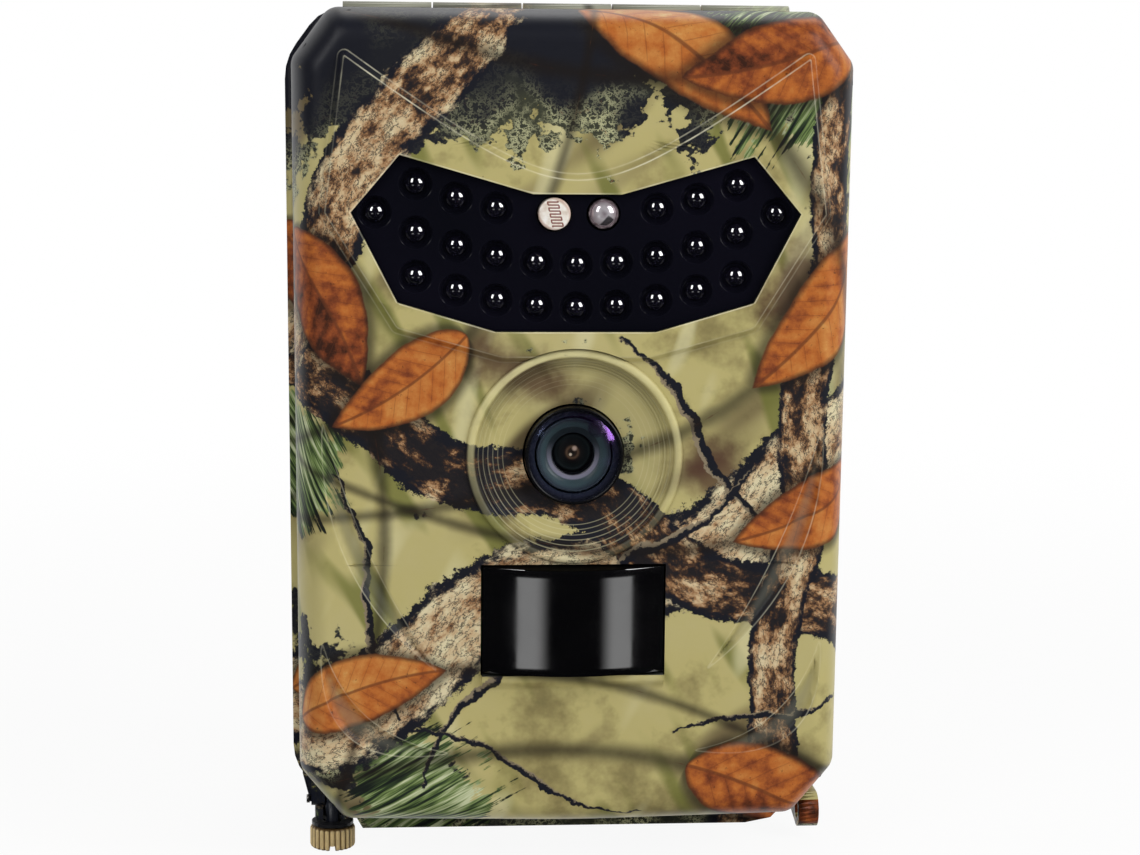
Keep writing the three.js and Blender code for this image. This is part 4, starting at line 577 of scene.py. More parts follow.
def motion_window(finish, matt):
    """Bowed window: across, the front is a parabola; up and down, a straight wall with eased edges.

    Its upper and lower sides are matt."""
    bottom, top = MOTION_LOW, MOTION_HIGH
    across = np.linspace(-1, 1, 81)
    section = [(1, top), (0.04, top), (0.016, top - 0.02), (0.004, top - 0.05), (0, top - 0.12)]
    section += [(0, z) for z in np.linspace(top - 1.5, bottom + 1.5, 8)]
    section += [(0, bottom + 0.12), (0.004, bottom + 0.05), (0.016, bottom + 0.02), (0.04, bottom), (1, bottom)]
    back, level = np.array(section).T
    front = FRONT_Y - MOTION_BOW * (1 - across ** 2)
    y = front[None] + back[:, None] * (FRONT_Y + MOTION_THICK - front[None])
    x = np.broadcast_to(across * MOTION_HALF, y.shape)
    z = np.broadcast_to(level[:, None], y.shape)
    grid = np.stack([x, y, z], 2)
    sheets = Sheets().add(np.concatenate([grid, grid[:1]]), flip=True)
    for side in (1, -1):
        ends = [[(side * MOTION_HALF, y, z) for z in (bottom, top)] for y in (FRONT_Y, FRONT_Y + MOTION_THICK)]
        sheets.add(np.array(ends), flip=side > 0)
    mesh = sheets.mesh("motion_window")
    place("motion_window", mesh, finish, "door", ["pir_window"], 35)
    mesh.materials.append(matt)
    upright = np.abs(read(mesh.polygons, "normal", 3)[:, 2])
    mesh.polygons.foreach_set("material_index", (upright > 0.3).astype(np.int32))


def knurled_nut(finish):
    """Nut with rounded flutes: its radius swells and sinks 24 times a turn. A slot crosses its foot."""
    centre, low, high = centre_of("brass_nut")
    radius, half = (high[0] - low[0]) / 2, (high[2] - low[2]) / 2
    flutes = 24
    angle = np.linspace(0, 2 * math.pi, flutes * 14, endpoint=False)
    swell = 1 - 0.085 * (1 - ((1 + np.cos(flutes * angle)) / 2) ** 0.45)
    rim = [(0.86, 1.0), (0.90, 0.95), (0.94, 0.88), (0.965, 0.80), (0.97, 0.70)]
    foot = [(r, -1.0) for r in (0.6, 0.4, 0.2, 0.0)]
    rows = np.array([(0.0, 1.0), (0.4, 1.0), *rim, *((r, -z) for r, z in rim[::-1]), *foot])
    reach = rows[:, 0, None] * swell * radius
    x, y = reach * np.cos(angle), reach * np.sin(angle)
    z = np.broadcast_to(rows[:, 1, None] * half, x.shape)
    z = np.where((np.abs(x) < 0.45) & (z < 0), np.maximum(z, 0.9 - half), z)
    sheets = Sheets().add(np.stack([x, y, z], 2) + centre, wrap=True, flip=True)
    place("knurled_nut", sheets.mesh("knurled_nut"), finish, "nut", ["brass_nut"], 24)


# Finishes

class Value:
    """A socket of a finish, so that maths on it is written as an expression and adds its nodes."""

    def __init__(self, finish, socket):
        self.finish, self.socket = finish, socket

    def maths(self, operation, *values):
        return self.finish.make("ShaderNodeMath", {"operation": operation}, values)

    def __add__(self, other):
        return self.maths("ADD", self, other)

    def __sub__(self, other):
        return self.maths("SUBTRACT", self, other)

    def __rsub__(self, other):
        return self.maths("SUBTRACT", other, self)

    def __mul__(self, other):
        return self.maths("MULTIPLY", self, other)

    def __truediv__(self, other):
        return self.maths("DIVIDE", self, other)

    def __rtruediv__(self, other):
        return self.maths("DIVIDE", other, self)

    def __pow__(self, exponent):
        return self.maths("POWER", self, exponent)

    def __abs__(self):
        return self.maths("ABSOLUTE", self)

    __radd__ = __add__
    __rmul__ = __mul__

    def at_least(self, other):
        return self.maths("MAXIMUM", self, other)

    def fold(self, length):
        return self.maths("PINGPONG", self, length)

    def sine(self):
        return self.maths("SINE", self)

    def between(self, low, high):
        """0 below low, 1 above high, eased between; high may be the smaller."""
        settings = {"interpolation_type": "SMOOTHSTEP"}
        return self.finish.make("ShaderNodeMapRange", settings, (self, low, high, 0.0, 1.0))


class Finish:
    """A material with one main shader, and the one way in which its nodes are made."""

    def __init__(self, name, world=None):
        self.material = world or bpy.data.materials.new(name)
        self.material.use_nodes = True
        self.tree = self.material.node_tree
        self.tree.nodes.clear()

    def make(self, kind, settings=None, values=(), out=0):
        """A node of a kind: first its settings, then the values or links of its sockets. Gives one output."""
        node = self.tree.nodes.new(kind)
        for key, setting in (settings or {}).items():
            if key == "stops":
                elements = node.color_ramp.elements
                while len(elements) < len(setting):
                    elements.new(0.5)
                for element, (place_at, colour) in zip(elements, setting):
                    element.position, element.color = place_at, (*colour, 1.0)
            else:
                setattr(node, key, setting)
        for key, value in values.items() if isinstance(values, dict) else enumerate(values):
            socket = node.inputs[key]
            if isinstance(value, Value):
                self.tree.links.new(value.socket, socket)
            elif isinstance(value, tuple) and socket.type == "RGBA":
                socket.default_value = (*value[:3], 1.0)
            else:
                socket.default_value = value
        return Value(self, node.outputs[out])

    def point(self):
        return self.make("ShaderNodeTexCoord", out="Object")

    def printed(self):
        return self.make("ShaderNodeAttribute", {"attribute_name": "print"}, out="Vector")

    def parts(self, vector):
        split = self.make("ShaderNodeSeparateXYZ", None, (vector,))
        return [Value(self, output) for output in split.socket.node.outputs]

    def join(self, x, y=0.0, z=0.0):
        return self.make("ShaderNodeCombineXYZ", None, (x, y, z))

    def local(self, vector, at, degrees=0.0, scale=(1.0, 1.0, 1.0)):
        """The vector seen from a place: moved to it, turned by an angle in the plane and divided by a scale."""
        turn = (0.0, 0.0, math.radians(degrees))
        spot = (at[0], at[1], at[2] if len(at) > 2 else 0.0)
        return self.make("ShaderNodeMapping", {"vector_type": "TEXTURE"}, (vector, spot, turn, scale))

    def millimetres(self, centre=(0.0, 0.0, 0.0)):
        """Object coordinates in millimetres, measured from a centre."""
        return self.local(self.point(), tuple(float(c) * MM for c in centre), 0.0, (MM, MM, MM))

    def noise(self, vector, scale, detail=2.0, roughness=0.5):
        values = {"Vector": vector, "Scale": scale, "Detail": detail, "Roughness": roughness}
        return self.make("ShaderNodeTexNoise", None, values)

    def ramp(self, factor, stops):
        return self.make("ShaderNodeValToRGB", {"stops": stops}, (factor,))

    def length(self, vector):
        return self.make("ShaderNodeVectorMath", {"operation": "LENGTH"}, (vector,), out=1)

    def mix(self, a, b, factor):
        """Colour a where the factor is 0, and b where it is 1."""
        return self.make("ShaderNodeMix", {"data_type": "RGBA"}, {0: factor, 6: a, 7: b}, out=2)

    def bump(self, height, strength, distance):
        values = {"Height": height, "Strength": strength, "Distance": distance}
        return self.make("ShaderNodeBump", None, values)

    def done(self, **values):
        """Ends the material with its main shader. Names are its sockets, with _ for a blank."""
        values = {key.replace("_", " "): value for key, value in values.items()}
        shader = self.make("ShaderNodeBsdfPrincipled", None, values)
        self.tree.links.new(shader.socket, self.make_output())
        return self.material

    def make_output(self):
        return self.tree.nodes.new("ShaderNodeOutputMaterial").inputs["Surface"]


# Ovate leaves: foot of the stalk, direction in degrees, length, width share and tint
LEAVES = (
    ((-48, 101), -58, 29, 0.46, 0.34), ((50, 62), 207, 27, 0.44, 0.52), ((49, 100), 232, 32, 0.42, 0.60),
    ((1, 140), -36, 38, 0.40, 0.66), ((49, 134), 198, 34, 0.44, 0.40), ((19, 14.5), -27, 35, 0.46, 0.42),
    ((-46, 22), 20, 27, 0.44, 0.62), ((-17, 84), 216, 26, 0.46, 0.56),
)
# Limbs: place, direction in degrees, half width, bow, wave length, and how pale the bark is
LIMBS = (
    ((4, 45), 25, 8.0, 3.4, 62.0, 1.0), ((-31, 70), -24, 5.4, 2.4, 46.0, 0.2),
    ((-25, 122), 57, 5.6, 1.8, 50.0, 0.7), ((39, 84), 84, 4.0, 1.2, 40.0, 0.4),
)
# Twigs: place, direction in degrees, half length and half width
TWIGS = (
    ((-15, 27), 60, 19, 0.75), ((20, 68), 128, 21, 1.0), ((-33, 42), 104, 21, 0.80),
    ((31, 22), 16, 15, 0.60), ((-8, 13), -22, 21, 0.60), ((13, 50), 40, 20, 0.95),
)
# Grass and needle patches: place, reach and lean in degrees
PATCHES = (((42, 131), 20, 58), ((-50, 64), 13, 118), ((-24, 8), 12, 30))
# Blurred brown patches of the ground: place, direction in degrees and reach both ways
BLURS = (
    ((-9, 78), -20, (13, 5.5, 1)), ((24, 61), -32, (12, 6, 1)),
    ((35, 93), 60, (10, 6, 1)), ((-40, 92), 80, (12, 5, 1)),
)
NAVY = (0.011, 0.012, 0.019)


def leaf_layer(f, at, wobble, blotch, leaf):
    """One ovate leaf. Its half width along the stalk goes as a^0.62 (1 - a)^0.9; the side veins slant outward.

    Gives its cover, its tone from dark to pale, its veins, its rim, and the shadow round it."""
    foot, degrees, length, width, tint = leaf
    a, b, _ = f.parts(f.local(at, foot, degrees, (length, length, 1.0)))
    b = b + (a - 0.45) * (a - 0.45) * 0.24 - 0.03
    across = abs(b)
    room = a.at_least(0.0) ** 0.62 * (1.0 - a).at_least(0.0) ** 0.9 * (1.36 * width)
    inside = room + wobble * 0.055 - across
    side = (a * 1.02 - across * 0.85 + wobble * 0.02).fold(0.048)
    veins = across.between(0.013, 0.004).at_least(side.between(0.005, 0.0) * inside.between(0.0, 0.09) * 0.6)
    tone = b.between(-0.012, 0.012) * 0.13 + side * 2.2 + (blotch - 0.5) * 1.25
    tone = tone + (tint - 0.14) + (0.5 - a) * 0.18
    shadow = (inside + 0.06).between(-0.02, 0.06)
    return inside.between(0.0, 0.012), tone, veins, inside.between(0.042, 0.008), shadow


def limb_layer(f, at, ragged, limb):
    """One limb: a band about a line that bows as a sine, with a ragged edge.

    Gives its cover, its dark edge and the coordinates of its bark."""
    spot, degrees, half, bow, wave, _ = limb
    a, b, _ = f.parts(f.local(at, spot, degrees))
    b = b + (a * (2 * math.pi / wave)).sine() * bow
    reach = abs(b) / half + ragged
    return reach.between(1.03, 0.99), reach.between(0.42, 1.0), f.join(a * 0.55, b, half)


def woodland(f, colours):
    """Woodland print: soft ground, leaf litter, grass, limbs with bark, twigs and ovate leaves.

    The motifs fold back beyond the front, so the sides and the back carry on the same print. Gives the colour,
    the fine noise and the mask of the housing's inner side."""
    u, v, inner = f.parts(f.printed())
    flat = f.join(u, v)
    at = f.join((u + 52.0).fold(104.0) - 52.0, (v + 14.0).fold(164.0) - 14.0)
    x, z, _ = f.parts(at)
    large = f.noise(flat, 0.022, 2.0, 0.5)
    middle = f.noise(flat, 0.13, 4.0, 0.6)
    fine = f.noise(flat, 1.0, 5.0, 0.75)
    worm = abs(f.noise(flat, 0.72, 3.5, 0.75) - 0.5)
    wobble = middle - 0.5
    # Ground out of focus
    colour = f.ramp(large * 0.7 + middle * 0.3, (
        (0.34, (0.12, 0.10, 0.040)), (0.41, (0.27, 0.225, 0.088)), (0.47, tuple(colours.ground)),
        (0.60, (0.48, 0.42, 0.19)), (0.68, (0.56, 0.53, 0.31)),
    ))
    soft = f.noise(f.local(flat, (7, 3, 5), 36.0, (38.0, 11.0, 1.0)), 1.0, 1.2, 0.4)
    colour = f.mix(colour, (0.055, 0.025, 0.017), soft.between(0.56, 0.72) * 0.80)
    blades = f.noise(f.local(flat, (-9, 40, 2), -62.0, (30.0, 6.0, 1.0)), 1.0, 1.2, 0.4)
    colour = f.mix(colour, (0.145, 0.155, 0.028), blades.between(0.56, 0.68) * 0.8)
    pale = f.noise(f.local(flat, (30, 12, 8), 70.0, (26.0, 7.0, 1.0)), 1.0, 1.2, 0.4)
    colour = f.mix(colour, (0.66, 0.62, 0.36), pale.between(0.58, 0.70) * 0.55)
    for spot, degrees, size in BLURS:
        away = f.length(f.local(at, spot, degrees, size)) + wobble * 1.6
        colour = f.mix(colour, (0.075, 0.026, 0.020), away.between(1.15, 0.25) * 0.82)
    # Leaf litter: dark ground with a maze of pale crumbs, darkest at the top
    maze = worm.between(0.060, 0.018) * middle.between(0.40, 0.58)
    crumbs = f.mix((0.045, 0.048, 0.030), (0.44, 0.44, 0.25), maze)
    crumbs = f.mix(crumbs, (0.30, 0.13, 0.05), fine.between(0.58, 0.66) * wobble.between(0.0, 0.12) * 0.8)
    crumbs = f.mix(crumbs, NAVY, f.noise(flat, 0.05, 1.5, 0.5).between(0.46, 0.56) * 0.96)
    crumbs = f.mix(crumbs, NAVY, (z + wobble * 30.0 + abs(x - 12.0) * 0.2).between(121.0, 131.0) * 0.93)
    litter = (z + wobble * 52.0 - abs(x + 14.0) * 0.16 + (fine - 0.5) * 7.0).between(112.4, 113.4)
    litter = litter.at_least((large + middle * 0.5 + (fine - 0.5) * 0.05).between(0.870, 0.885))
    litter = litter.at_least((z - (abs(x) - 33.0).at_least(0.0) * 0.4).between(2.4, 1.6))
    colour = f.mix(colour, crumbs, litter)
    # Grass and needles
    for spot, reach, lean in PATCHES:
        blades = f.noise(f.local(flat, (0, 0, reach), lean, (15.0, 0.9, 1.0)), 1.0, 3.0, 0.6)
        stems = f.ramp(blades, (
            (0.38, (0.010, 0.014, 0.012)), (0.45, (0.035, 0.060, 0.022)), (0.52, (0.16, 0.23, 0.07)),
            (0.62, (0.54, 0.58, 0.36)),
        ))
        away = f.make("ShaderNodeVectorMath", {"operation": "DISTANCE"}, (at, (*spot, 0.0)), out=1)
        patch = (away + wobble * reach * 1.7 + (blades - 0.5) * reach * 1.3).between(reach, reach - 1.2)
        colour = f.mix(colour, stems, patch)
    # Limbs
    ragged = (fine - 0.5) * 0.55 + wobble * 0.62
    for limb in LIMBS:
        cover, edge, vector = limb_layer(f, at, ragged, limb)
        grain = f.noise(vector, 0.26, 5.0, 0.66)
        cracks = abs(f.noise(vector, 0.80, 4.0, 0.72) - 0.5)
        bark = f.ramp(grain * 0.75 + fine * 0.25 + (limb[-1] - 0.75) * 0.16, (
            (0.38, (0.016, 0.014, 0.017)), (0.42, (0.085, 0.040, 0.020)), (0.46, (0.34, 0.18, 0.080)),
            (0.51, (0.56, 0.40, 0.225)), (0.62, (0.68, 0.60, 0.38)),
        ))
        bark = f.mix(bark, (0.022, 0.018, 0.018), cracks.between(0.034, 0.010) * 0.85)
        bark = f.mix(bark, NAVY, (edge * 1.1 - (grain - 0.40) * 3.0).between(0.25, 0.70))
        colour = f.mix(colour, bark, cover)
    # A pale strip over the hinge
    strip = v.between(147.0, 151.0) * abs(u).between(46.0, 44.0)
    colour = f.mix(colour, (0.58, 0.58, 0.44), strip * 0.55)
    # Twigs
    for spot, degrees, length, width in TWIGS:
        a, b, _ = f.parts(f.local(at, spot, degrees))
        bent = b + (a * 0.16).sine() * 1.6 + wobble * 5.0 + (fine - 0.5) * 0.9
        cover = (abs(bent) + abs(a) * (0.7 * width / length)).between(width + 0.08, width - 0.08)
        cover = cover * abs(a).between(length, length - 0.4)
        skin = f.mix(NAVY, (0.34, 0.27, 0.17), (bent * 0.8 + fine).between(0.62, 0.80) * 0.7)
        colour = f.mix(colour, skin, cover)
    # Leaves, each over the ones before it, with its shadow first
    blotch = f.noise(flat, 0.24, 5.0, 0.68)
    for leaf in LEAVES:
        cover, tone, veins, rim, shadow = leaf_layer(f, at, wobble, blotch, leaf)
        colour = f.mix(colour, (0.014, 0.010, 0.008), shadow * 0.72)
        blade = f.ramp(tone, (
            (0.10, (0.045, 0.014, 0.007)), (0.30, (0.23, 0.052, 0.014)), (0.52, tuple(colours.leaf)),
            (0.80, (0.57, 0.235, 0.055)), (0.98, (0.62, 0.38, 0.12)),
        ))
        blade = f.mix(blade, (0.035, 0.014, 0.008), fine.between(0.60, 0.68) * 0.75)
        blade = f.mix(blade, (0.13, 0.035, 0.012), veins * 0.7)
        blade = f.mix(blade, (0.045, 0.018, 0.010), rim * 0.8)
        colour = f.mix(colour, blade, cover)
    return colour, fine, inner


def housing_finish(colours):
    """The print with painted light: highlights along the edges of the raised forms, on the dish's crest and on
    its steps, and shade just inside the crest high up. Darker and greyer in the scoops; plain dark plastic
    inside.
    """
    f = Finish("housing_print_with_painted_light")
    colour, fine, inner = woodland(f, colours)
    hood, pane, scoop = f.parts(f.make("ShaderNodeAttribute", {"attribute_name": "form"}, out="Vector"))
    at = f.millimetres((0.0, FRONT_Y, DISH_Z))
    x, y, z = f.parts(at)
    ring = f.length(f.join(x, 0.0, z))
    patchy = f.noise(at, 0.11, 3.0, 0.6).between(0.38, 0.62) * 0.7 + 0.3
    hollow = scoop.between(10.0, 11.6)
    colour = f.mix(colour, (0.17, 0.17, 0.13), hollow * 0.42)
    # Painted highlight: a pale band on the dish's crest, brightest at the top and faint at the bottom
    lip = abs(ring - 16.6).between(0.78, 0.30) * (z * 0.032 + 0.52).at_least(0.12)
    # Painted shade: darker inside the dish just under its crest, in its upper half only
    under = ring.between(16.0, 15.7) * ring.between(12.4, 15.5) * z.between(-1.0, 13.0)
    # Painted highlights: pale thin rings on the dish's step edges, strongest low down
    steps = (ring - 10.6).fold(0.4).between(0.11, 0.02) * ring.between(10.9, 11.3) * ring.between(16.1, 15.9)
    corner = x.between(-35.0, -37.0) * z.between(-53.0, -55.5) * y.between(7.0, 8.5)
    colour = f.mix(colour, (0.012, 0.014, 0.024), corner * fine.between(0.62, 0.50) * 0.95)
    # Painted highlights: pale lines along the hood's fold and foot, the window's edge and the scoops' edges,
    # strongest on the fold high up
    crest = (z - 40.0).between(0.0, 8.0) * abs(x).between(37.5, 35.5) * 0.45 + 0.2
    painted_foot_highlight = abs(hood - 8.95).between(0.17, 0.03) * 0.6
    painted_edge_highlights = abs(hood - 9.9).between(0.17, 0.03).at_least(painted_foot_highlight) * crest
    painted_edge_highlights = painted_edge_highlights.at_least(abs(pane - 9.88).between(0.17, 0.05) * 0.45)
    painted_edge_highlights = painted_edge_highlights.at_least(abs(scoop - 9.9).between(0.16, 0.03) * 0.26)
    # Lays the painted light on the print: the edge highlights, the shade under the dish's crest, and the
    # highlights on its crest and steps
    colour = f.mix(colour, (0.84, 0.80, 0.58), painted_edge_highlights * patchy)
    colour = f.mix(colour, (0.075, 0.062, 0.028), under * 0.55)
    colour = f.mix(colour, (0.72, 0.66, 0.34), lip * (patchy * 0.4 + 0.42))
    colour = f.mix(colour, (0.70, 0.66, 0.42), steps * (0.28 - z * 0.014).at_least(0.06) * 0.75)
    colour = f.mix(colour, f.mix((0.016, 0.018, 0.016), (0.026, 0.029, 0.025), fine), inner)
    grain = f.noise(f.point(), 2600.0, 2.0, 0.5)
    return f.done(
        Base_Color=colour, Roughness=0.34 + fine * 0.12, Specular_IOR_Level=0.24,
        Normal=f.bump(grain, 0.10, 0.00006),
    )


def moulded(name, colour, roughness, bump=0.15, specular=0.5, spread=0.18, ior=1.5):
    """Plastic or rubber with a faint mottle and a moulded grain."""
    f = Finish(name)
    at = f.point()
    mottle = f.noise(at, 160.0, 3.0, 0.6)
    fine = f.noise(at, 2700.0, 2.0, 0.5)
    dark = tuple(c * (1 - spread) for c in colour)
    light = tuple(min(1.0, c * (1 + spread)) for c in colour)
    tone = f.ramp(mottle, ((0.3, dark), (0.7, light)))
    return f.done(
        Base_Color=tone, Roughness=mottle * 0.14 + (roughness - 0.07), Specular_IOR_Level=specular, IOR=ior,
        Normal=f.bump(fine, bump, 0.0001),
    )


def metal(name, colour, roughness):
    """Bright metal with fine turning marks and duller patches."""
    f = Finish(name)
    at = f.point()
    patch = f.noise(at, 420.0, 4.0, 0.65)
    marks = f.noise(f.local(at, (0, 0, 0), 0.0, (1.0, 1.0, 0.12)), 2600.0, 2.0, 0.5)
    worn = tuple(c * (1 - 0.35) for c in colour)
    tone = f.ramp(patch, ((0.3, worn), (0.62, colour)))
    return f.done(
        Base_Color=tone, Metallic=1.0, Roughness=patch * 0.22 + marks * 0.08 + (roughness - 0.15),
        Normal=f.bump(marks, 0.12, 0.00005),
    )


def nut_finish(brass):
    """Pale brass on the flutes' crests, with painted shade inward of them: at the foot of each flute, in the slot
    and on the end faces.
    """
    f = Finish("nut_brass_with_painted_shade")
    centre, low, high = centre_of("brass_nut")
    at = f.millimetres(centre)
    x, y, _ = f.parts(at)
    outer = float(high[0] - low[0]) / 2
    reach = f.length(f.join(x, y, 0.0))
    patch = f.noise(at, 0.8, 4.0, 0.6)
    crest = reach.between(outer - 0.44, outer - 0.16)
    pale = f.ramp(patch, ((0.3, tuple(c * 0.8 for c in brass)), (0.65, brass)))
    # Painted shade: dark brown wherever the surface lies inward of the flutes' crests
    colour = f.mix((0.16, 0.095, 0.035), pale, crest)
    return f.done(Base_Color=colour, Metallic=0.12, Roughness=patch * 0.2 + 0.26)


def panel_finish():
    """Deep blue-black pane with a faint cloud of tint and rare dust."""
    f = Finish("panel_black")
    at = f.point()
    tint = f.noise(at, 28.0, 2.0, 0.5)
    dust = f.noise(at, 2400.0, 2.0, 0.6).between(0.74, 0.80)
    colour = f.ramp(tint, ((0.3, (0.0034, 0.0036, 0.0062)), (0.7, (0.0052, 0.0048, 0.0098))))
    colour = f.mix(colour, (0.05, 0.05, 0.06), dust * 0.3)
    return f.done(Base_Color=colour, Roughness=0.10 + tint * 0.06, Specular_IOR_Level=0.14)


def dome_finish():
    """Almost black resin that mirrors the lamps as small sharp glints."""
    f = Finish("emitter_dome_dark")
    at = f.point()
    swirl = f.noise(at, 600.0, 2.0, 0.5)
    colour = f.ramp(swirl, ((0.3, (0.002, 0.002, 0.005)), (0.7, (0.008, 0.007, 0.014))))
    return f.done(Base_Color=colour, Roughness=swirl * 0.04 + 0.03, Specular_IOR_Level=1.0, IOR=2.4)


def sensor_finish():
    """Off-white ceramic disc with one meandering track down its middle."""
    f = Finish("sensor_ceramic")
    centre = centre_of("light_sensor")[0]
    at = f.millimetres(centre)
    x, _, z = f.parts(at)
    x = x + z * 0.22 - 0.1
    run = z.fold(0.235).between(0.135, 0.090) * abs(x).between(0.92, 0.86) * abs(z).between(2.18, 2.12)
    way = (z * (math.pi / 0.47)).sine().between(-0.05, 0.05) * 1.66 - 0.83
    turn = abs(x - way).between(0.145, 0.100) * abs(z).between(2.10, 2.05)
    cloud = f.noise(at, 0.8, 3.0, 0.6)
    face = f.ramp(cloud, ((0.3, (0.66, 0.55, 0.46)), (0.5, (0.83, 0.77, 0.69)), (0.7, (0.93, 0.90, 0.86))))
    rim = f.length(f.join(x + 0.2, 0.0, z)).between(2.1, 2.5)
    face = f.mix(face, (0.50, 0.30, 0.22), rim * 0.6)
    face = f.mix(face, (0.20, 0.035, 0.018), run.at_least(turn) * 0.92)
    return f.done(Base_Color=face, Roughness=cloud * 0.1 + 0.16, Coat_Weight=0.6, Coat_Roughness=0.08)


def indicator_finish():
    """Clear dome over a bright cup: pale rings, dark towards the middle and the rim, with one dark wedge."""
    f = Finish("indicator_clear")
    centre = centre_of("indicator_led")[0]
    at = f.millimetres(centre)
    x, _, z = f.parts(at)
    radius = f.length(f.join(x, 0.0, z))
    cloud = f.noise(at, 1.3, 3.0, 0.6)
    colour = f.ramp(radius * 0.4 + (cloud - 0.5) * 0.30, (
        (0.02, (0.42, 0.36, 0.40)), (0.16, (0.62, 0.55, 0.60)), (0.34, (0.84, 0.80, 0.84)),
        (0.62, (0.70, 0.62, 0.66)), (0.80, (0.60, 0.50, 0.54)), (0.88, (0.22, 0.17, 0.18)),
        (0.97, (0.03, 0.02, 0.03)),
    ))
    wedge = (x * 0.85 - z * 0.75).between(0.55, 0.85) * (x * 0.6 + z * 0.8).between(0.45, 0.15)
    colour = f.mix(colour, (0.035, 0.030, 0.036), wedge * radius.between(1.9, 1.7) * 0.92)
    return f.done(
        Base_Color=colour, Metallic=0.55, Roughness=cloud * 0.12 + 0.10, Coat_Weight=1.0, Coat_Roughness=0.04,
    )


# Two painted highlights (glints) on the pupil: place across and up from the lens axis, radius and colour
PAINTED_GLINTS = ((0.35, 0.65, 0.55, (0.55, 0.40, 0.32)), (-0.30, -0.35, 0.34, (0.85, 0.72, 0.55)))


def ring_finish(name, stops, roughness):
    """Rings of colour by distance from the lens axis, with painted light: the pale ring round the pupil is a
    painted reflection, darkened high up so it shows as a crescent low down, and the pupil has painted glints.
    """
    f = Finish(name)
    at = f.millimetres((0.0, FRONT_Y, DISH_Z))
    x, _, z = f.parts(at)
    radius = f.length(f.join(x, 0.0, z))
    colour = f.ramp(radius / 8.0, stops)
    # The pale band from about 3.5 to 4.4 mm is a painted reflection; darkening it high up leaves a painted
    # crescent of light low down
    ring = radius.between(3.35, 3.55) * radius.between(4.45, 4.30)
    colour = f.mix(colour, (0.012, 0.020, 0.026), ring * z.between(-2.8, 2.4))
    # Painted highlights: two warm glints on the pupil
    for at_x, at_z, size, glint in PAINTED_GLINTS:
        away = f.length(f.join(x - at_x, 0.0, z - at_z))
        colour = f.mix(colour, glint, away.between(size, size * 0.3))
    cloud = f.noise(at, 0.9, 3.0, 0.6)
    return f.done(Base_Color=colour, Roughness=cloud * 0.12 + roughness, Specular_IOR_Level=0.35)


# Colours of the barrel and the bezel by distance from the lens axis, as shares of 8 mm.
# The barrel's pale lavender band, from 0.455 to 0.52, is a painted reflection.
BARREL_RINGS_WITH_PAINTED_REFLECTION = (
    (0.03, (0.008, 0.005, 0.004)), (0.085, (0.030, 0.016, 0.010)), (0.115, (0.13, 0.075, 0.045)),
    (0.155, (0.018, 0.010, 0.008)), (0.18, (0.004, 0.004, 0.005)), (0.30, (0.006, 0.009, 0.011)),
    (0.34, (0.020, 0.030, 0.032)), (0.38, (0.003, 0.003, 0.004)), (0.435, (0.010, 0.011, 0.016)),
    (0.455, (0.23, 0.22, 0.29)), (0.52, (0.20, 0.20, 0.27)), (0.54, (0.034, 0.058, 0.070)),
    (0.64, (0.048, 0.078, 0.092)), (0.70, (0.030, 0.042, 0.060)),
)
BEZEL_RINGS = (
    (0.72, (0.022, 0.032, 0.050)), (0.78, (0.016, 0.022, 0.040)), (0.84, (0.020, 0.023, 0.046)),
    (0.90, (0.012, 0.014, 0.026)), (0.925, (0.003, 0.003, 0.004)),
)


def glass_finish():
    """Coated glass as a thin violet film that stays almost clear, with a painted reflection: the film is denser
    towards the upper right and in a round lavender spot there, so the lamps show in those fixed places.
    """
    f = Finish("lens_coating_with_painted_reflection")
    at = f.millimetres((0.0, FRONT_Y, DISH_Z))
    x, _, z = f.parts(at)
    radius = f.length(f.join(x, 0.0, z))
    # Painted reflection: a violet glow towards the upper right rim and a round lavender spot, made as denser film
    side = (x * 0.55 + z * 0.83).between(-1.0, 7.2)
    glow = side * side * radius.between(3.0, 7.4)
    spot = f.length(f.join(x - 3.5, 0.0, z - 4.5)).between(1.45, 1.20)
    colour = f.mix((0.25, 0.34, 0.52), (0.55, 0.24, 0.95), side)
    colour = f.mix(colour, (0.66, 0.48, 1.0), spot)
    clear = 0.025 + glow * 0.22 + spot * 0.42
    return f.done(Base_Color=colour, Metallic=1.0, Roughness=0.07 + side * 0.03, Alpha=clear)


def board_finish():
    """Green solder mask with fine tracks and pads."""
    f = Finish("board_green")
    at = f.millimetres()
    x, _, z = f.parts(at)
    cells = f.noise(f.join(x, 0.0, z), 0.09, 2.0, 0.5)
    tracks = (x + cells * 16.0).fold(0.8).between(0.22, 0.12)
    tracks = tracks.at_least((z + cells * 12.0).fold(1.1).between(0.2, 0.1))
    pads = f.make("ShaderNodeTexVoronoi", None, {"Vector": f.join(x, 0.0, z), "Scale": 0.22})
    pads = pads.between(0.16, 0.12)
    colour = f.mix((0.012, 0.10, 0.035), (0.03, 0.20, 0.07), tracks * 0.8)
    return f.done(Base_Color=f.mix(colour, (0.62, 0.55, 0.36), pads), Roughness=0.32 + cells * 0.1)


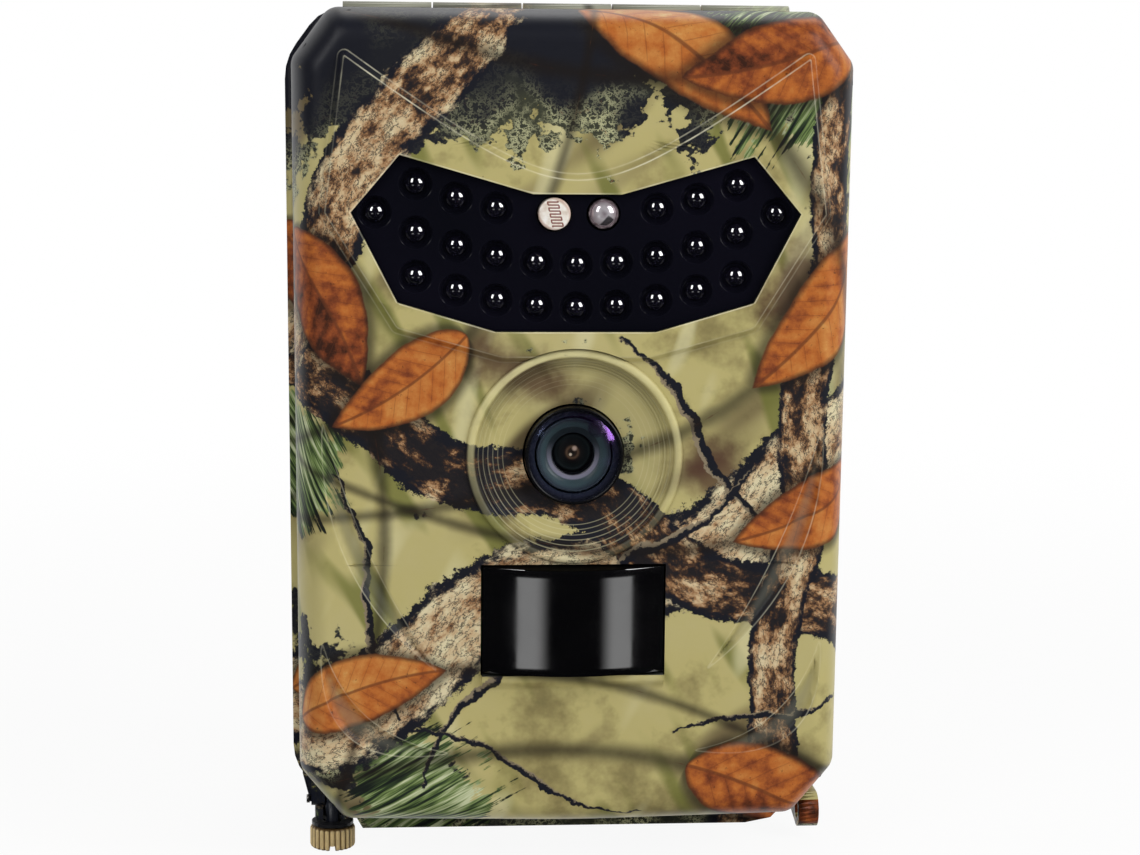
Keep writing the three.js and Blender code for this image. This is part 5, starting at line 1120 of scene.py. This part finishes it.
def cell_finish():
    """Battery jacket: a dark lower part, a copper band towards the plus end, and bare steel at the ends."""
    f = Finish("cell_jacket_wrap")
    _, low, high = centre_of("battery_1")
    foot, top = float(low[2]), float(high[2])
    at = f.millimetres()
    _, _, z = f.parts(at)
    grime = f.noise(at, 0.3, 3.0, 0.6)
    band = z.between(top - 15.0, top - 14.6)
    ends = z.between(top - 1.4, top - 1.2).at_least(z.between(foot + 0.8, foot + 0.6))
    colour = f.mix((0.016, 0.018, 0.022), (0.42, 0.20, 0.08), band)
    colour = f.mix(colour, (0.55, 0.55, 0.54), ends)
    return f.done(Base_Color=colour, Metallic=ends * 0.6 + 0.3, Roughness=grime * 0.16 + 0.24)


def display_finish():
    """Dark display glass in a slim frame, with a barely lighter picture area."""
    f = Finish("display_dark")
    centre, low, high = centre_of("display")
    at = f.millimetres(centre)
    x, _, z = f.parts(at)
    wide, tall = float(high[0] - low[0]) / 2 - 4.0, float(high[2] - low[2]) / 2 - 4.0
    area = abs(x).between(wide + 0.2, wide) * abs(z).between(tall + 0.2, tall)
    smear = f.noise(at, 0.12, 3.0, 0.6)
    colour = f.mix((0.006, 0.006, 0.008), (0.030, 0.042, 0.050), area)
    return f.done(Base_Color=colour, Roughness=smear * 0.12 + 0.06)


# The remaining solids by the start of their name, with their finish and the angle past which an edge is sharp
OTHERS = (
    ("swing_bolt", "bolt_navy", 35), ("swing_pin", "bolt_steel", 35), ("bolt_washer", "washer_black", 35),
    ("hinge_pin", "bolt_steel", 35), ("tripod_insert", "insert_brass", 35),
    ("contact_strip", "contact_spring", 35), ("battery_tray", "inner_grey", 32),
    ("battery_", "cell_jacket_wrap", 35),
    ("led_board", "board_green", 30), ("main_board", "board_green", 30), ("inner_cover", "inner_grey", 32),
    ("display", "display_dark", 30), ("button_", "key_grey", 40), ("mode_switch", "switch_white", 35),
    ("gasket", "seal_black", 40), ("lens_holder", "inner_grey", 32), ("pir_sensor", "contact_spring", 35),
    ("port_plug", "seal_black", 40),
)


# Settings

def length_of(name, description, default, precision=5):
    """A length in metres that a user can change."""
    return bpy.props.FloatProperty(
        name=name, description=description, default=default, unit="LENGTH", precision=precision)


def angle_of(name, description, degrees):
    """An angle that a user can change, with its default in degrees."""
    return bpy.props.FloatProperty(
        name=name, description=description, default=math.radians(degrees), subtype="ANGLE")


def colour_of(name, description, default):
    """A colour that a user can change."""
    return bpy.props.FloatVectorProperty(
        name=name, description=description, default=default, subtype="COLOR", min=0, max=1)


class HousingSizes(bpy.types.PropertyGroup):
    edge_inset: length_of("Edge inset", "How far the rounded edge is drawn in", EDGE_INSET * MM)
    edge_depth: length_of("Edge depth", "How far the rounded edge reaches back", EDGE_DEPTH * MM)
    hood_rise: length_of("Hood rise", "How far the hood stands out", 0.0013)
    hood_draft: length_of("Hood draft", "Width of the hood's flank", 0.0011)
    scoop_depth: length_of("Scoop depth", "Depth of the crescent scoops", 0.0009)
    lip_rise: length_of("Lip rise", "Height of the crest round the dish", 0.0006)


class PrintColours(bpy.types.PropertyGroup):
    ground: colour_of("Ground", "Main khaki of the print", (0.47, 0.41, 0.165))
    leaf: colour_of("Leaf", "Main orange of the leaves", (0.46, 0.130, 0.022))
    brass: colour_of("Brass", "Brass of the nut", (0.86, 0.65, 0.32))


class StageSettings(bpy.types.PropertyGroup):
    distance: length_of("Distance", "From the camera to what it looks at", 0.4, 4)
    azimuth: angle_of("Azimuth", "Turn of the camera about the object", -4.592)
    elevation: angle_of("Elevation", "Height of the camera as an angle", 7.967)
    roll: angle_of("Roll", "Tilt of the picture", 0.506)
    focal: bpy.props.FloatProperty(
        name="Focal length", description="Of the camera, in millimetres on a 36 mm sensor", default=79.30)


# Operators

def bare_nodes(start=""):
    """Solids that nothing has replaced yet, by the start of their name."""
    return sorted(n for n, o in frame["nodes"].items() if n.startswith(start) and not o.hide_render)


def direction(azimuth, elevation):
    """Unit vector towards a place, by its turn from the front and its height as an angle, in radians."""
    flat = math.cos(elevation)
    return Vector((math.sin(azimuth) * flat, -math.cos(azimuth) * flat, math.sin(elevation)))


class TRAILCAM_OT_front_shell(bpy.types.Operator):
    """Front housing with its hood, dish and scoops, in the woodland print"""

    bl_idname = "trailcam.front_shell"
    bl_label = "Front shell"

    def execute(self, context):
        front_shell(context.scene.trailcam_sizes, housing_finish(context.scene.trailcam_colours))
        return {"FINISHED"}


class TRAILCAM_OT_rear_shell(bpy.types.Operator):
    """Rear housing with the chin, fork, lug and strap ribs, in the same print"""

    bl_idname = "trailcam.rear_shell"
    bl_label = "Rear shell"

    def execute(self, context):
        mesh = merged_copy("rear_shell")
        wrap_print(mesh, 0.0, PRINT_UP)
        finish = bpy.data.materials["housing_print_with_painted_light"]
        place("rear_shell_skin", mesh, finish, "housing", ["rear_shell"], 32)
        return {"FINISHED"}


class TRAILCAM_OT_window(bpy.types.Operator):
    """Infrared window with its emitters, light sensor and indicator"""

    bl_idname = "trailcam.window"
    bl_label = "Infrared window"

    def execute(self, context):
        infrared_panel(panel_finish())
        emitter_domes(dome_finish())
        small_sensors(sensor_finish(), indicator_finish())
        return {"FINISHED"}


class TRAILCAM_OT_lens(bpy.types.Operator):
    """Lens with its bezel, dished barrel and coated glass"""

    bl_idname = "trailcam.lens"
    bl_label = "Lens"

    def execute(self, context):
        bezel = ring_finish("bezel_rings", BEZEL_RINGS, 0.22)
        lens(bezel, ring_finish("barrel_rings_with_painted_reflection", BARREL_RINGS_WITH_PAINTED_REFLECTION, 0.26), glass_finish())
        return {"FINISHED"}


class TRAILCAM_OT_motion(bpy.types.Operator):
    """Bowed dark window of the motion sensor"""

    bl_idname = "trailcam.motion"
    bl_label = "Motion window"

    def execute(self, context):
        black = (0.0008, 0.0008, 0.0008)
        glossy = moulded("motion_black", black, 0.10, bump=0.01, specular=1.0, ior=2.4)
        motion_window(glossy, moulded("motion_matt", black, 0.7, specular=0.05))
        return {"FINISHED"}


class TRAILCAM_OT_fittings(bpy.types.Operator):
    """Bolt, nut, hinge pin, seal, boards, keys, cells and other inner parts, with their edges shaded smooth"""

    bl_idname = "trailcam.fittings"
    bl_label = "Fittings"

    def execute(self, context):
        brass = tuple(context.scene.trailcam_colours.brass)
        knurled_nut(nut_finish(brass))
        finishes = {m.name: m for m in (
            metal("insert_brass", brass, 0.30),
            metal("bolt_steel", (0.50, 0.49, 0.46), 0.32),
            metal("contact_spring", (0.66, 0.65, 0.62), 0.28),
            moulded("washer_black", (0.012, 0.012, 0.015), 0.4),
            moulded("bolt_navy", (0.022, 0.026, 0.040), 0.42, spread=0.6),
            moulded("inner_grey", (0.030, 0.032, 0.034), 0.5),
            moulded("key_grey", (0.10, 0.10, 0.105), 0.6),
            moulded("switch_white", (0.62, 0.60, 0.55), 0.42),
            moulded("seal_black", (0.014, 0.014, 0.014), 0.65),
            board_finish(), cell_finish(), display_finish(),
        )}
        record = frame["record"]
        body_of = {n: b for b, nodes in record["behaviour"]["bodies"].items() for n in nodes}
        for start, finish, sharp in OTHERS:
            for node in bare_nodes(start):
                mesh = merged_copy(node)
                place(f"{node}_smooth", mesh, finishes[finish], body_of[node], [node], sharp)
        left = bare_nodes()
        if left:
            raise RuntimeError(f"these solids have no finish: {left}")
        return {"FINISHED"}


# Soft lamps: name, azimuth and elevation in degrees, distance, width and height in metres, and radiance.
# The two low ones make the grey bands on the motion window, and the high ones light the object
LAMPS = (
    ("low_left", -23.0, -12.8, 1.3, 0.50, 0.22, 0.50), ("low_right", 32.5, -12.8, 1.3, 0.50, 0.22, 0.50),
    ("high_left", -38.0, 32.0, 1.4, 0.42, 0.90, 4.4), ("high_right", 58.0, 27.0, 1.4, 0.90, 0.95, 4.4),
    ("high_back", 160.0, 50.0, 1.5, 0.90, 0.60, 2.0),
)
LAMP_CENTRE = (0, -0.04, 0.04)
CAMERA_CENTRE = (-0.00079, -0.039, 0.069514)
FLOOR_RADII = (2600, 1200, 500, 150, 0)
WHITE = (1.0, 1.0, 1.0)


class TRAILCAM_OT_stage(bpy.types.Operator):
    """Pale floor, soft lamps, world and the camera at the photograph's angle"""

    bl_idname = "trailcam.stage"
    bl_label = "Stage"

    def execute(self, context):
        scene = context.scene
        angle = np.linspace(0, 2 * math.pi, 96, endpoint=False)
        rings = np.array([[(r * math.cos(t), r * math.sin(t), 0) for t in angle] for r in FLOOR_RADII])
        rings += (0, 0, CAD_BOX[0].z / MM - 0.05)
        floor = bpy.data.objects.new("floor", Sheets().add(rings, wrap=True).mesh("floor"))
        scene.collection.objects.link(floor)
        floor.data.materials.append(self.floor_finish())
        for name, azimuth, elevation, distance, width, height, radiance in LAMPS:
            away = direction(math.radians(azimuth), math.radians(elevation))
            data = bpy.data.lights.new(name, "AREA")
            data.shape, data.size, data.size_y = "RECTANGLE", width, height
            data.energy = radiance * math.pi * width * height
            if name.startswith("low"):
                self.fade(data, azimuth < 0)
            lamp = bpy.data.objects.new(name, data)
            lamp.location = Vector(LAMP_CENTRE) + away * distance
            lamp.rotation_mode = "QUATERNION"
            lamp.rotation_quaternion = (-away).to_track_quat("-Z", "Y")
            scene.collection.objects.link(lamp)
        self.world(scene)
        scene.view_settings.view_transform = "Standard"
        self.camera(scene, scene.trailcam_stage)
        return {"FINISHED"}

    def fade(self, lamp, left):
        """Lets a low lamp fade towards one side, so the bowed window shows a grey band with one soft edge."""
        f = Finish(lamp.name, lamp)
        across, _, _ = f.parts(f.make("ShaderNodeNewGeometry", out="Parametric"))
        share = across.between(1.0, 0.5) if left else across.between(0.0, 0.5)
        shade = f.mix((0.0, 0.0, 0.0), WHITE, share)
        glow = f.make("ShaderNodeEmission", None, {"Color": shade, "Strength": 1.0})
        output = f.tree.nodes.new("ShaderNodeOutputLight")
        f.tree.links.new(glow.socket, output.inputs["Surface"])

    def seen(self, f):
        """1 for rays from the camera, mirror rays and rays through glass."""
        rays = f.make("ShaderNodeLightPath", out="Is Camera Ray")
        outputs = rays.socket.node.outputs
        mirrored, through = (Value(f, outputs[name]) for name in ("Is Glossy Ray", "Is Transmission Ray"))
        return rays.at_least(mirrored).at_least(through)

    def floor_finish(self):
        """A white floor: mostly its own white where it is seen, with enough of the lit surface for a shadow.
        Mirror rays pass through it."""
        f = Finish("floor_white")
        reach = f.length(f.point())
        lit = f.make("ShaderNodeBsdfDiffuse", None, {"Color": (0.82, 0.82, 0.81)})
        white = f.make("ShaderNodeEmission", None, {"Color": WHITE, "Strength": 1.0})
        share = self.seen(f) * (reach.between(0.15, 0.5) * 0.07 + 0.93)
        both = f.make("ShaderNodeMixShader", None, (share, lit, white))
        rays = f.make("ShaderNodeLightPath", out="Is Glossy Ray")
        through = f.make("ShaderNodeBsdfTransparent", None, {"Color": WHITE})
        both = f.make("ShaderNodeMixShader", None, (rays, both, through))
        f.tree.links.new(both.socket, f.make_output())
        return f.material

    def world(self, scene):
        """White to the camera, dark to mirror rays towards the front, and an even pale grey as light."""
        scene.world = bpy.data.worlds.new("studio")
        f = Finish("studio", scene.world)
        _, y, _ = f.parts(f.make("ShaderNodeTexCoord", out="Generated"))
        camera = f.make("ShaderNodeLightPath", out="Is Camera Ray")
        seen = f.mix(f.mix((0.004, 0.004, 0.005), WHITE, y.between(0.0, 0.65)), WHITE, camera)
        colour = f.mix((0.37, 0.37, 0.37), seen, self.seen(f))
        background = f.make("ShaderNodeBackground", None, {"Color": colour, "Strength": 1.0})
        output = f.tree.nodes.new("ShaderNodeOutputWorld")
        f.tree.links.new(background.socket, output.inputs["Surface"])

    def camera(self, scene, settings):
        """The camera at its distance and angles from what it looks at, with its roll."""
        roll = settings.roll
        back = direction(settings.azimuth, settings.elevation)
        right = (-back).cross(Vector((0, 0, 1))).normalized()
        up = right.cross(-back)
        across = right * math.cos(roll) + up * math.sin(roll)
        upright = up * math.cos(roll) - right * math.sin(roll)
        data = bpy.data.cameras.new("camera")
        data.lens, data.sensor_width, data.sensor_fit = settings.focal, 36.0, "HORIZONTAL"
        data.clip_start, data.clip_end = 0.02, 20.0
        eye = Vector(CAMERA_CENTRE) + back * settings.distance
        camera = bpy.data.objects.new("camera", data)
        axes = Matrix((across, upright, back)).transposed().to_4x4()
        camera.matrix_world = Matrix.Translation(eye) @ axes
        scene.collection.objects.link(camera)
        scene.camera = camera


class TRAILCAM_PT_panel(bpy.types.Panel):
    """Sizes, colours and the pieces of the trail camera"""

    bl_idname = "TRAILCAM_PT_panel"
    bl_label = "Trail Camera"
    bl_space_type = "VIEW_3D"
    bl_region_type = "UI"
    bl_category = "Trail Camera"

    def draw(self, context):
        scene, layout = context.scene, self.layout
        for group in (scene.trailcam_sizes, scene.trailcam_colours, scene.trailcam_stage):
            box = layout.box()
            for name in group.__annotations__:
                box.prop(group, name)
        for operator in OPERATORS:
            layout.operator(operator.bl_idname)


GROUPS = (HousingSizes, PrintColours, StageSettings)
OPERATORS = (
    TRAILCAM_OT_front_shell, TRAILCAM_OT_rear_shell, TRAILCAM_OT_window, TRAILCAM_OT_lens, TRAILCAM_OT_motion,
    TRAILCAM_OT_fittings, TRAILCAM_OT_stage,
)


def register():
    for item in (*GROUPS, *OPERATORS, TRAILCAM_PT_panel):
        bpy.utils.register_class(item)
    bpy.types.Scene.trailcam_sizes = bpy.props.PointerProperty(type=HousingSizes)
    bpy.types.Scene.trailcam_colours = bpy.props.PointerProperty(type=PrintColours)
    bpy.types.Scene.trailcam_stage = bpy.props.PointerProperty(type=StageSettings)


def unregister():
    del bpy.types.Scene.trailcam_stage
    del bpy.types.Scene.trailcam_colours
    del bpy.types.Scene.trailcam_sizes
    for item in reversed((*GROUPS, *OPERATORS, TRAILCAM_PT_panel)):
        bpy.utils.unregister_class(item)


def main():
    """Makes all pieces and the stage."""
    register()
    bpy.ops.trailcam.front_shell()
    bpy.ops.trailcam.rear_shell()
    bpy.ops.trailcam.window()
    bpy.ops.trailcam.lens()
    bpy.ops.trailcam.motion()
    bpy.ops.trailcam.fittings()
    bpy.ops.trailcam.stage()


if __name__ == "__main__":
    main()
